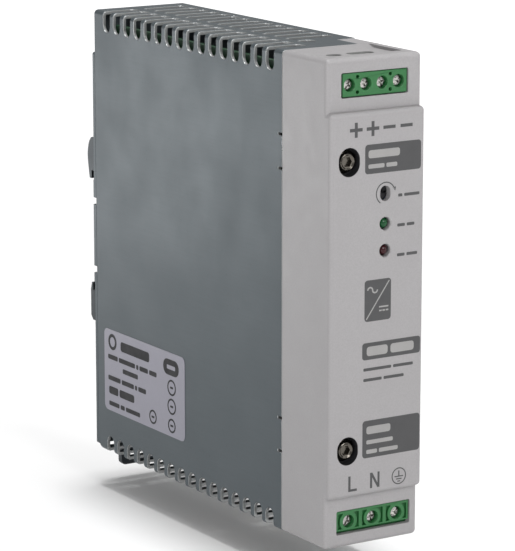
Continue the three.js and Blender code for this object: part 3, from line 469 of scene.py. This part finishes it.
def soften(obj, width, segments=2, angle=35):
    """Rounds the edges sharper than angle, in degrees, by width."""
    rounding = obj.modifiers.new("rounded_edges", "BEVEL")
    rounding.width = width
    rounding.segments = segments
    rounding.limit_method = "ANGLE"
    rounding.angle_limit = math.radians(angle)
    rounding.use_clamp_overlap = True
    return obj


def even(obj):
    """Keeps flat faces flat beside rounded edges."""
    weighted = obj.modifiers.new("even_faces", "WEIGHTED_NORMAL")
    weighted.keep_sharp = True
    weighted.weight = 100
    weighted.thresh = 0.001
    return obj


def smooth(obj, angle=35):
    obj.data.polygons.foreach_set("use_smooth", [True] * len(obj.data.polygons))
    obj.data.set_sharp_from_angle(angle=math.radians(angle))
    return obj


def settle(obj, body, material, replaces=()):
    """Scales a finished piece to metres, gives it its material and puts it on its body."""
    obj.data.transform(Matrix.Scale(MM, 4))
    obj.data.materials.clear()
    obj.data.materials.append(material)
    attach(obj, body)
    if replaces:
        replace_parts(obj, *replaces)
    return obj


def joined(name, parts):
    """Several separate meshes as one object."""
    bm = bmesh.new()
    for part in parts:
        bm.from_mesh(part.data)
        bpy.data.objects.remove(part)
    return from_bmesh(name, bm)


# ---- The case: one steel sheet folded round the top, left side and bottom ------------------------

BEND_OUTER = 1.2  # radius of the sheet's outer surface at the two folds
BEND_MIDDLE = 0.7  # radius of its middle surface there
TOP_RUN = 2 * HALF_WIDTH - BEND_OUTER
BEND_RUN = BEND_MIDDLE * math.pi / 2
WALL_RUN = 2 * (HALF_HEIGHT - BEND_OUTER)
WALL_START = TOP_RUN + BEND_RUN
WALL_END = WALL_START + WALL_RUN
BOTTOM_START = WALL_END + BEND_RUN
FLAT_LENGTH = BOTTOM_START + TOP_RUN


def top_u(x):
    return HALF_WIDTH - x


def wall_u(z):
    return WALL_START + HALF_HEIGHT - BEND_OUTER - z


def bottom_u(x):
    return BOTTOM_START + x + HALF_WIDTH - BEND_OUTER


def folded(u, v, w):
    """Where a point of the flat sheet lies after folding; w is its height over the middle surface."""
    bend_x = -HALF_WIDTH + BEND_OUTER
    bend_z = HALF_HEIGHT - BEND_OUTER
    if u <= TOP_RUN:
        return (HALF_WIDTH - u, v, bend_z + BEND_MIDDLE + w)
    if u < WALL_START:
        angle = math.pi / 2 + (u - TOP_RUN) / BEND_MIDDLE
        reach = BEND_MIDDLE + w
        return (bend_x + reach * math.cos(angle), v, bend_z + reach * math.sin(angle))
    if u <= WALL_END:
        return (bend_x - BEND_MIDDLE - w, v, bend_z - (u - WALL_START))
    if u < BOTTOM_START:
        angle = math.pi + (u - WALL_END) / BEND_MIDDLE
        reach = BEND_MIDDLE + w
        return (bend_x + reach * math.cos(angle), v, -bend_z + reach * math.sin(angle))
    return (bend_x + u - BOTTOM_START, v, -bend_z - BEND_MIDDLE - w)


VENT_ROWS = 16
VENT_PITCH = 5.81
VENT_FIRST = -8.7
VENT_HALF = 1.95
VENT_EDGE = 0.13


def vent_loops():
    loops = []
    for k in range(VENT_ROWS):
        across = (VENT_FIRST - VENT_PITCH * k - VENT_HALF, VENT_FIRST - VENT_PITCH * k + VENT_HALF)
        loops.append(stadium(top_u(-4), wall_u(HALF_HEIGHT - 5.9), *across))
        loops.append(stadium(wall_u(-HALF_HEIGHT + 5), bottom_u(-4), *across))
        if k < VENT_ROWS - 1:
            end = 12.2 if k < VENT_ROWS - 2 else 3.2
            loops.append(stadium(top_u(end), top_u(-2), *across))
            loops.append(stadium(bottom_u(-2), bottom_u(end), *across))
    return loops


def sheet_outline():
    """The flat sheet, with the tongue's notch, the snap slits and the bevelled lower corner."""
    notch_back = -91.7
    points = [(0, CASE_BACK), (0, notch_back), (top_u(8.9), notch_back), (top_u(8.9), CASE_FRONT)]
    screw = COVER_SCREW[1]
    for middle in (screw, -screw):
        for edge in (middle + 4.2, middle - 4.9):
            start, end = wall_u(edge + 0.7), wall_u(edge)
            deep = CASE_FRONT + 1.9
            points += [(start, CASE_FRONT), (start, deep), (end, deep), (end, CASE_FRONT)]
    back = CASE_BACK - 1.9
    corner = [(FLAT_LENGTH, CASE_FRONT), (FLAT_LENGTH, back), (BOTTOM_START, back)]
    return points + corner + [(wall_u(-HALF_HEIGHT + 2), CASE_BACK)]


def housing():
    outlines = [sheet_outline(), *vent_loops()]
    flat = prism("housing_folded_sheet", "z", outlines, -SHEET / 2, SHEET / 2, VENT_EDGE)
    bm = bmesh.new()
    bm.from_mesh(flat.data)
    bpy.data.objects.remove(flat)
    bm.normal_update()
    for face in bm.faces:
        face.material_index = 1 if abs(face.normal.z) < 0.9 else 0
    steps = 6
    lines = [start + BEND_RUN * i / steps for start in (TOP_RUN, WALL_END) for i in range(steps + 1)]
    for u in lines:
        everything = [*bm.verts, *bm.edges, *bm.faces]
        bmesh.ops.bisect_plane(bm, geom=everything, plane_co=(u, 0, 0), plane_no=(1, 0, 0), dist=1e-5)
    for vert in bm.verts:
        vert.co = folded(*vert.co)
    made = from_bmesh("housing_folded_sheet", bm)
    tabs = [
        prism("tab", "y", [rounded_loop(-14.2, -4.6, z - 4.2, z + 4.2, 0.8), circle(-9, z, 1.8)],
              CASE_FRONT, CASE_FRONT + SHEET, 0.1)
        for z in (COVER_SCREW[1], -COVER_SCREW[1])
    ]
    lips = []
    inner = HALF_WIDTH - SHEET
    for side in (1, -1):
        for y in SIDE_SCREW_Y:
            ends = sorted((side * (HALF_HEIGHT - 7), side * (HALF_HEIGHT - 0.8)))
            shape = rounded_loop(y - 5, y + 5, *ends, 0.8)
            hole = circle(y, side * (HALF_HEIGHT - SIDE_SCREW_INSET), 1.4)
            lips.append(prism("lip", "x", [shape, hole], inner - 1.3, inner - 0.3, 0.1))
    made = joined("housing_folded_sheet", [made, *tabs, *lips])
    finishes = [face.material_index for face in made.data.polygons]
    even(smooth(made, 50))
    settle(made, SUPPLY, FINISH["case_steel"], ["housing_shell"])
    made.data.materials.append(CUT_EDGE)
    made.data.polygons.foreach_set("material_index", finishes)
    return made


housing()

# ---- The front cover -----------------------------------------------------------------------------


def rounded_bar(name, half_height, front):
    """A solid bar with a square back, rounded at its front and long edges."""
    made = block(name, (-HALF_WIDTH, HALF_WIDTH), (front, COVER_BACK), (-half_height, half_height))
    bm = bmesh.new()
    bm.from_mesh(made.data)
    bpy.data.objects.remove(made)
    edges = [e for e in bm.edges if min(v.co.y for v in e.verts) < front + 0.1]
    bmesh.ops.bevel(bm, geom=edges, offset=COVER_ROUNDING, segments=6, profile=0.5, affect="EDGES")
    return from_bmesh(name, bm)


def window(row, deep):
    half_x, half_z = row["half"]
    x, z = row["x"], row["z"]
    loop = rounded_loop(x - half_x, x + half_x, z - half_z, z + half_z, 0.5)
    return prism("window", "y", [loop], TERMINAL_FRONT - 2, TERMINAL_FRONT + deep)


def in_well(place):
    """Whether a face of the cover is inside one of the two screw wells, whose inner faces are painted dark
    as shade.
    """
    screw_x, screw_z = COVER_SCREW
    reach = math.hypot(place.x - screw_x, abs(place.z) - screw_z)
    return reach < 3.9 and PANEL_FRONT + 0.15 < place.y < WELL_BOTTOM + 1


def front_cover():
    cover = rounded_bar("cover_moulding", HALF_HEIGHT, TERMINAL_FRONT)
    inner_x = HALF_WIDTH - COVER_WALL
    inner_z = HALF_HEIGHT - COVER_WALL
    panel_z = PANEL_HALF_HEIGHT - COVER_WALL
    carve(cover, [rounded_bar("panel", PANEL_HALF_HEIGHT, PANEL_FRONT)], "UNION")
    carve(cover, [
        block("hollow", (-inner_x, inner_x), (TERMINAL_FRONT + COVER_WALL, 0), (-inner_z, inner_z)),
        block("panel_hollow", (-inner_x, inner_x), (PANEL_FRONT + COVER_WALL, BEHIND_PANEL),
              (-panel_z, panel_z)),
    ])
    screw_x, screw_z = COVER_SCREW
    collars = []
    for z in (screw_z, -screw_z):
        collars.append(lathe("collar", [
            (0, PANEL_FRONT + 1), (4.6, PANEL_FRONT + 1), (4.6, WELL_BOTTOM + 1.6), (3.2, WELL_BOTTOM + 1.6),
            (3.2, COVER_BACK), (0, COVER_BACK),
        ], 32, at=(screw_x, z)))
    rims = []
    for side in (1, -1):
        ends = sorted((side * (HALF_HEIGHT - 2.3), side * (HALF_HEIGHT - 1.3)))
        rims.append(block("rim", (-12.6, 12), (TERMINAL_FRONT + 3, COVER_BACK + 3.6), ends))
    tongue = block("tongue", (9.2, HALF_WIDTH - 0.6), (COVER_BACK - 2, -92),
                   (HALF_HEIGHT - 1, HALF_HEIGHT - 0.1))
    carve(cover, [*collars, *rims, tongue], "UNION")
    carve(cover, [block("trim_left", (-20, -HALF_WIDTH + 0.0005), (-130, 0), (-60, 60))])

    tools = [window(OUTPUT, 6), window(INPUT, 6)]
    for z in (screw_z, -screw_z):
        mouth = stadium(screw_x - 3.25, screw_x + 3.25, z - 3.8, z + 3.8, 12)
        tools.append(prism("well", "y", [mouth], PANEL_FRONT - 1, WELL_BOTTOM))
        tools.append(prism("bolt_hole", "y", [circle(screw_x, z, 1.8)], PANEL_FRONT, COVER_BACK + 1))
    for z in (GREEN_Z, RED_Z):
        tools.append(lathe("lamp_hole", [
            (0, PANEL_FRONT - 1), (1.9, PANEL_FRONT - 1), (1.9, PANEL_FRONT), (1.7, PANEL_FRONT + 0.2),
            (1.7, BEHIND_PANEL), (0, BEHIND_PANEL),
        ], 32, at=(PANEL_X, z)))
    hole = stadium(PANEL_X - 1.7, PANEL_X + 1.5, TRIMMER_Z - 2.05, TRIMMER_Z + 2.05)
    tools.append(prism("trimmer_hole", "y", [hole], PANEL_FRONT - 1, BEHIND_PANEL))
    for x0, x1 in ((-7.6, -3.3), (-1.2, 6.8)):
        tools.append(prism("wire_slot", "z", [stadium(x0, x1, *WIRE_SLOT)], 61, 66))
    for k in range(INPUT["poles"]):
        x = pole_x(INPUT, k)
        tools.append(prism("wire_slot", "z", [stadium(x - 2.4, x + 2.4, *WIRE_SLOT)], -66, -61))
    field = [(-102.6, 66), (-102.6, 65), (-105.6, 64.2), (-117.2, 64.2), (-118.4, 65), (-118.4, 66)]
    tools.append(prism("recess", "x", [field], -12.4, 11.6))
    carve(cover, tools)
    soften(cover, 0.12, 2, 40)
    even(smooth(bake(cover), 50))
    # Painted shade: the inner faces of the screw wells get the black epoxy material, standing in for the
    # shade deep in the wells.
    well_shade_faces = [int(in_well(face.center)) for face in cover.data.polygons]
    settle(cover, SUPPLY, FINISH["cover_plastic"], ["front_cover"])
    cover.data.materials.append(FINISH["epoxy"])
    cover.data.polygons.foreach_set("material_index", well_shade_faces)
    return cover


front_cover()

# ---- Screws, lamps and the adjuster --------------------------------------------------------------


def crossed(screw, x, z, face, length, width, deep, turn):
    """Cuts a driver's slot with a shorter cross slot into a head, turned by some degrees."""
    tools = [
        block("slot", (-length, length), (face - 1, face + deep), (-width, width)),
        block("cross", (-width, width), (face - 1, face + deep), (-0.95, 0.95)),
    ]
    for tool in tools:
        tool.matrix_world = Matrix.Translation((x, 0, z)) @ Matrix.Rotation(math.radians(turn), 4, "Y")
    return carve(screw, tools)


def terminal_screws(label, row, radius, turns):
    for k in range(row["poles"]):
        x, z = pole_x(row, k), row["z"]
        top = TERMINAL_FACE + 1
        screw = lathe(f"{label}_screw_{k + 1}_turned", [
            (0, top), (radius - 0.35, top), (radius - 0.12, top + 0.08), (radius, top + 0.28),
            (radius, top + 1.8), (1.05, top + 1.8), (1.05, -114.8), (0.85, -114.6), (0, -114.6),
        ], 40, at=(x, z))
        crossed(screw, x, z, top, radius + 1, 0.3, 0.7, turns[k])
        smooth(screw, 30)
        settle(screw, f"{label}_screw_{k + 1}", FINISH["bright_steel"],
               [f"{label}_terminal_screw_{k + 1}"])


terminal_screws("output", OUTPUT, 1.5, (-58, -22, 71, -40))
terminal_screws("input", INPUT, 1.55, (-65, 80, -35))

for label, z in (("upper", COVER_SCREW[1]), ("lower", -COVER_SCREW[1])):
    seat = -122.05
    head = seat - 2.2
    bolt = lathe(f"cover_bolt_{label}", [
        (0, head + 0.3), (1.6, head + 0.3), (2.0, head), (2.2, head + 0.1), (2.4, head + 0.4),
        (2.48, head + 1.15), (2.95, head + 1.4), (3.1, head + 1.55), (3.1, seat), (1.45, seat),
        (1.45, CASE_FRONT + 5), (0, CASE_FRONT + 5.6),
    ], 48, at=(COVER_SCREW[0], z))
    socket = prism("socket", "y", [circle(COVER_SCREW[0], z, 1.45, 6)], head - 1, head + 1.3)
    smooth(carve(bolt, [socket]), 30)
    settle(bolt, SUPPLY, SHADED_BOLT_STEEL, [f"cover_screw_{label}"])

for place, side in (("upper", 1), ("lower", -1)):
    for i, y in enumerate(SIDE_SCREW_Y, 1):
        z = side * (HALF_HEIGHT - SIDE_SCREW_INSET)
        face = HALF_WIDTH - 0.1
        screw = lathe(f"side_screw_{place}_{i}_turned", [
            (0, HALF_WIDTH - 5.5), (1.25, HALF_WIDTH - 5.5), (1.25, HALF_WIDTH - SHEET), (2.25, face - 0.04),
            (2.15, face), (0, face),
        ], 40, "x", (y, z))
        arms = [
            block("arm", (face - 0.6, face + 1), (y - 1.2, y + 1.2), (z - 0.3, z + 0.3)),
            block("arm", (face - 0.6, face + 1), (y - 0.3, y + 0.3), (z - 1.2, z + 1.2)),
        ]
        smooth(carve(screw, arms), 30)
        settle(screw, SUPPLY, FINISH["bright_steel"], [f"side_screw_{place}_{i}"])

for side, x in (("left", -RIVET_X), ("right", RIVET_X)):
    back, front = 3.75, CASE_BACK - 0.05
    rivet = lathe(f"hook_rivet_{side}_domed", [
        (0, front - 0.9), (0.9, front - 0.84), (1.7, front - 0.62), (2.3, front - 0.3), (2.6, front),
        (1.5, front), (1.5, back), (2.6, back), (2.3, back + 0.3), (1.7, back + 0.62), (0.9, back + 0.84),
        (0, back + 0.9),
    ], 32, at=(x, RIVET_Z))
    smooth(rivet, 40)
    settle(rivet, SUPPLY, FINISH["bright_steel"], [f"hook_rivet_{side}"])

for color, z in (("green", GREEN_Z), ("red", RED_Z)):
    tip = -124.8
    foot = -119.2
    slopes = [math.radians(a) for a in range(0, 91, 10)]
    dome = [(1.5 * math.sin(a), tip + 1.6 * (1 - math.cos(a))) for a in slopes]
    lamp = lathe(f"{color}_lamp_domed", [
        *dome, (1.5, foot - 1.3), (1.55, foot - 1.2), (1.85, foot - 1.2), (1.9, foot - 1.1), (1.9, foot),
        (0, foot),
    ], 40, at=(PANEL_X, z))
    smooth(lamp, 50)
    settle(lamp, SUPPLY, FINISH[f"{color}_lens"], [f"{color}_indicator_lamp"])

ROTOR_FRONT = -122.9
ROTOR_BACK = -121.2
rotor = lathe("voltage_rotor_slotted", [
    (0, ROTOR_FRONT), (1.8, ROTOR_FRONT), (2.0, ROTOR_FRONT + 0.2), (2.0, ROTOR_BACK), (0, ROTOR_BACK),
], 40, at=(PANEL_X, TRIMMER_Z))
rotor_arms = [
    block("arm", (PANEL_X - 1.7, PANEL_X + 1.7), (-124, ROTOR_FRONT + 0.8),
          (TRIMMER_Z - 0.35, TRIMMER_Z + 0.35)),
    block("arm", (PANEL_X - 0.35, PANEL_X + 0.35), (-124, ROTOR_FRONT + 0.6),
          (TRIMMER_Z, TRIMMER_Z + 1.6)),
]
smooth(carve(rotor, rotor_arms), 30)
settle(rotor, "trimmer_rotor", FINISH["epoxy"], ["voltage_trimmer_rotor"])

# ---- The latch's spring --------------------------------------------------------------------------

SPRING = {"radius": 1.6, "wire": 0.3, "turns": 7, "y": 2.3, "from": -47.6, "to": -36.4}
coil = bpy.data.curves.new("latch_spring_coiled", "CURVE")
coil.dimensions = "3D"
coil.bevel_depth = SPRING["wire"] * 0.97
coil.bevel_resolution = 3
coil.use_fill_caps = True
winding = coil.splines.new("POLY")
COIL_STEPS = SPRING["turns"] * 20
winding.points.add(COIL_STEPS)
for i, point in enumerate(winding.points):
    turn = 2 * math.pi * SPRING["turns"] * i / COIL_STEPS
    height = SPRING["from"] + (SPRING["to"] - SPRING["from"]) * i / COIL_STEPS
    reach = SPRING["radius"]
    point.co = (reach * math.cos(turn), SPRING["y"] + reach * math.sin(turn), height, 1)
holder = link("coil", coil)
spring = link("latch_spring_coiled", evaluated_mesh(holder))
bpy.data.objects.remove(holder)
smooth(spring, 60)
settle(spring, SUPPLY, FINISH["bright_steel"], ["latch_spring"])
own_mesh(spring)

# ---- Printing on the panel and the label ---------------------------------------------------------

INK = 0.02


def ink(name, axis, face, loops, material):
    low, high = sorted((face, face - INK))
    made = prism(name, axis, loops, low, high)
    return settle(made, SUPPLY, material)


def words(u, v, widths, height, gap=0.6):
    """A line of plain bars, one for each word."""
    loops = []
    for width in widths:
        loops.append(rounded_loop(u, u + width, v, v + height, height * 0.3, 3))
        u += width + gap
    return loops


def plus(x, z, half, thick):
    t = thick / 2
    return [(x - half, z - t), (x - t, z - t), (x - t, z - half), (x + t, z - half), (x + t, z - t),
            (x + half, z - t), (x + half, z + t), (x + t, z + t), (x + t, z + half), (x - t, z + half),
            (x - t, z + t), (x - half, z + t)]


panel_ink = [
    rounded_loop(-4.13, 13.4, 34.7, 42.4, 0.9),
    rounded_loop(-4.6, 13.75, -14.5, -9.95, 0.8),
    rounded_loop(-4.35, 13.86, -41, -30.9, 0.9),
    rounded_loop(-4, 4.3, -4.3, 6.7, 0.9),
]
for x in (-6.94, -1.77):
    panel_ink.append(plus(x, 46.5, 1.95, 0.9))
for x in (3.36, 8.73):
    panel_ink.append(bar(x - 1.9, x + 1.9, 46.1, 46.95))
panel_ink.append([
    (-8.7, -45.2), (-8.7, -49.4), (-6.0, -49.4), (-6.0, -48.75), (-8.0, -48.75), (-8.0, -45.2),
])
panel_ink.append([
    (-1.8, -49.4), (-1.15, -49.4), (-1.15, -46.5), (0.5, -49.4), (1.2, -49.4), (1.2, -45.2), (0.55, -45.2),
    (0.55, -48.2), (-1.1, -45.2), (-1.8, -45.2),
])
panel_ink += [circle(7.38, -47.35, 2.3, 40), circle(7.38, -47.35, 2.0, 40)]
panel_ink.append([
    (7.2, -45.9), (7.2, -47.3), (6.0, -47.3), (6.0, -47.6), (8.76, -47.6), (8.76, -47.3), (7.56, -47.3),
    (7.56, -45.9),
])
panel_ink += [bar(6.5, 8.26, -48.3, -48.0), bar(6.95, 7.81, -48.95, -48.65)]
panel_ink.append(arc_band(PANEL_X, TRIMMER_Z, 2.9, 0.3, 20, 235))
panel_ink.append([
    (PANEL_X + 3.2, TRIMMER_Z + 1.5), (PANEL_X + 2.2, TRIMMER_Z + 1.4), (PANEL_X + 3.0, TRIMMER_Z + 0.4),
])
panel_ink += words(6.3, 27.9, (1.3, 4.8), 0.8)
panel_ink += words(6.1, 20.0, (2.4, 2.4), 0.8)
panel_ink += words(6.1, 12.1, (2.4, 3.4), 0.8)
panel_ink += words(-4.2, -17.5, (8.8, 6.3), 0.8)
panel_ink += words(-4.2, -20.3, (5.8, 6.4), 0.8)
ink("panel_printing_dark", "y", PANEL_FRONT, panel_ink, INK_DARK)

pale_ink = words(-3.1, 38.8, (9.8,), 2.1)
pale_ink += words(-3.1, 36.1, (5.0, 3.4), 1.1)
pale_ink += words(-3.2, -13.5, (6.6, 7.4), 2.5, 0.9)
pale_ink += words(-3.1, -34.6, (7.6,), 2.1)
pale_ink += words(-3.1, -37.3, (8.4,), 1.1)
pale_ink += words(-3.1, -39.9, (3.4, 6.0), 1.1)
pale_ink.append([(-3.55, -3.6), (3.6, 6.2), (3.85, 6.0), (-3.3, -3.8)])
pale_ink.append(arc_band(-2.25, 4.0, 0.75, 0.4, 0, 180, 12))
pale_ink.append(arc_band(-0.75, 4.0, 0.75, 0.4, 180, 360, 12))
pale_ink += [bar(0.6, 3.5, -0.9, -0.5), bar(0.6, 1.4, -1.9, -1.5), bar(1.65, 2.45, -1.9, -1.5),
             bar(2.7, 3.5, -1.9, -1.5)]
ink("panel_printing_pale", "y", PANEL_FRONT - INK, pale_ink, INK_PALE)

LABEL_FACE = -HALF_WIDTH - 0.12
LABEL_FRONT = -51.6
LABEL_BACK = -5.8
LABEL_BOTTOM = -52
LABEL_TOP = -27.6
LABEL_GAP = 0.7  # between the bars of one line
label_shape = rounded_loop(LABEL_FRONT, LABEL_BACK, LABEL_BOTTOM, LABEL_TOP, 1.8)
label_film = prism("rating_label_film", "x", [label_shape], LABEL_FACE, -HALF_WIDTH - 0.001)
smooth(label_film)
settle(label_film, SUPPLY, FINISH["label_film"], ["rating_label"])
label_ink = []


def on_label(u):
    """A place along the label, from the left as it is read, which is from the back of the case."""
    return LABEL_BACK - u


def label_words(start, z, widths, height):
    for width in widths:
        front, back = on_label(start + width), on_label(start)
        label_ink.append(rounded_loop(front, back, z, z + height, height * 0.28, 3))
        start += width + LABEL_GAP


ring = (on_label(4.8), LABEL_TOP - 3.6)
label_ink += [circle(*ring, 2.4, 40), circle(*ring, 1.45, 40)]
label_words(9.6, LABEL_TOP - 5.4, (16.5,), 2.9)
label_words(2.2, LABEL_TOP - 8.9, (5.6, 9.4, 1.2, 4.8, 4.2), 1.4)
label_words(10.7, LABEL_TOP - 11.8, (8.8,), 1.4)
label_words(2.2, LABEL_TOP - 15.2, (7.2, 7.0, 1.2, 4.4), 1.4)
label_words(2.6, LABEL_TOP - 19.3, (5.4, 8.6), 2.3)
label_words(2.6, LABEL_TOP - 22.8, (6.0, 2.4, 8.2), 1.3)
label_ink.append(rounded_loop(on_label(42.6), on_label(34), LABEL_TOP - 6.6, LABEL_TOP - 2, 2.2))
label_ink.append(rounded_loop(on_label(40.6), on_label(36), LABEL_TOP - 4.9, LABEL_TOP - 3.7, 0.3))
for place, drop, radius in ((38.6, 10.1, 2.35), (38.6, 15.6, 2.35), (38.6, 21.2, 2.1), (28, 20.9, 2.1)):
    center = (on_label(place), LABEL_TOP - drop)
    label_ink += [circle(*center, radius, 40), circle(*center, radius - 0.55, 40)]
    label_ink.append(bar(center[0] - 0.8, center[0] + 0.8, center[1] - 0.3, center[1] + 0.3))
ink("rating_label_printing", "x", LABEL_FACE, label_ink, INK_LABEL)

# ---- The frame's own solids: rounded edges and their materials ------------------------------------

ROUNDING = {
    "side_cover": 0.12, "rear_plate": 0.12, "rail_hook": 0.25, "rail_latch": 0.2, "latch_guide": 0.15,
    "output_terminal_block": 0.1, "input_terminal_block": 0.1, "voltage_trimmer_body": 0.15,
    "transformer_core": 0.3, "transformer_bobbin": 0.3, "mains_filter_capacitor": 0.5,
    "switching_transistor": 0.2, "output_rectifier": 0.2, "bridge_rectifier": 0.2,
}
HIDDEN = {name for obj in bpy.data.objects for name in obj.get("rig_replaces", [])}

for name, obj in nodes.items():
    slots = obj.data.materials
    slots.clear()
    slots.append(FINISH[SLOT_OF[name]])
    if name in HIDDEN:
        continue
    weld = obj.modifiers.new("welded", "WELD")
    weld.merge_threshold = 1e-6
    even(soften(obj, ROUNDING.get(name, 0.08) * MM, 2, 32))

# ---- Stage, light and camera ---------------------------------------------------------------------

FLOOR_Z = -0.0765  # clear of the latch when it is pulled down
bm = bmesh.new()
bmesh.ops.create_grid(bm, x_segments=8, y_segments=8, size=4)
floor = from_bmesh("studio_floor", bm)
floor.location.z = FLOOR_Z
paper = Nodes("studio_paper")
paper.join(
    paper.mixed(paper.ranged(paper.noise(60, 3.0), 0, 1), [0.82, 0.82, 0.82, 1], [0.84, 0.84, 0.84, 1]),
    paper.shader.inputs["Base Color"],
)
# Painted light: the paper glows, faintly beside the object and more strongly farther out, where the lamps
# don't reach.
reach = paper.node("ShaderNodeVectorMath", operation="LENGTH")
paper.join(paper.place, reach.inputs[0])
glow = paper.ranged(reach.outputs["Value"], 0.02, 0.66, 0.25, 1.1)
paper.join(glow, paper.shader.inputs["Emission Strength"])
paper.set(Roughness=0.9, Specular_IOR_Level=0.1, Emission_Color=[1, 1, 1, 1])
floor.data.materials.append(paper.material)

world = bpy.data.worlds.new("studio_world")
bpy.context.scene.world = world
world.use_nodes = True
sky = world.node_tree.nodes["Background"]
sky.inputs["Color"].default_value = (1, 1, 1, 1)
rays = world.node_tree.nodes.new("ShaderNodeLightPath")
seen = world.node_tree.nodes.new("ShaderNodeMapRange")
seen.inputs["To Min"].default_value = 0.4  # the light that the sky gives
seen.inputs["To Max"].default_value = 1  # how bright it looks itself
world.node_tree.links.new(rays.outputs["Is Camera Ray"], seen.inputs["Value"])
world.node_tree.links.new(seen.outputs["Result"], sky.inputs["Strength"])


def area_light(name, place, target, size, power):
    data = bpy.data.lights.new(name, "AREA")
    data.shape = "RECTANGLE"
    data.size, data.size_y = size
    data.energy = power
    made = bpy.data.objects.new(name, data)
    bpy.context.scene.collection.objects.link(made)
    made.location = place
    made.rotation_euler = (Vector(target) - Vector(place)).to_track_quat("-Z", "Y").to_euler()
    return made


CENTRE = (0, -0.06, 0)
area_light("key_light", (0.05, -1.1, 0.7), CENTRE, (0.6, 0.6), 7)
area_light("wall_glow", (-0.2, 0.27, -0.02), (-0.015, -0.03, -0.02), (0.1, 0.1), 0.16)
area_light("fill_light", (0.9, -0.7, 0.5), CENTRE, (0.8, 0.8), 2)
area_light("top_light", (0.02, 0.02, 1.15), CENTRE, (0.25, 0.25), 10)
area_light("edge_strip", (-0.95, -0.72, 0.04), CENTRE, (0.05, 0.2), 3.4)

camera_data = bpy.data.cameras.new("camera")
camera_data.lens = 198.87
camera_data.sensor_width = 36
camera_data.clip_end = 20
camera = bpy.data.objects.new("camera", camera_data)
bpy.context.scene.collection.objects.link(camera)
camera.location = (-0.43715, -0.76318, 0.17356)
camera.rotation_euler = Vector((0.5196, 0.8283, -0.2098)).to_track_quat("-Z", "Y").to_euler()
bpy.context.scene.camera = camera

bpy.context.scene.view_settings.view_transform = "Standard"

bpy.context.view_layer.update()
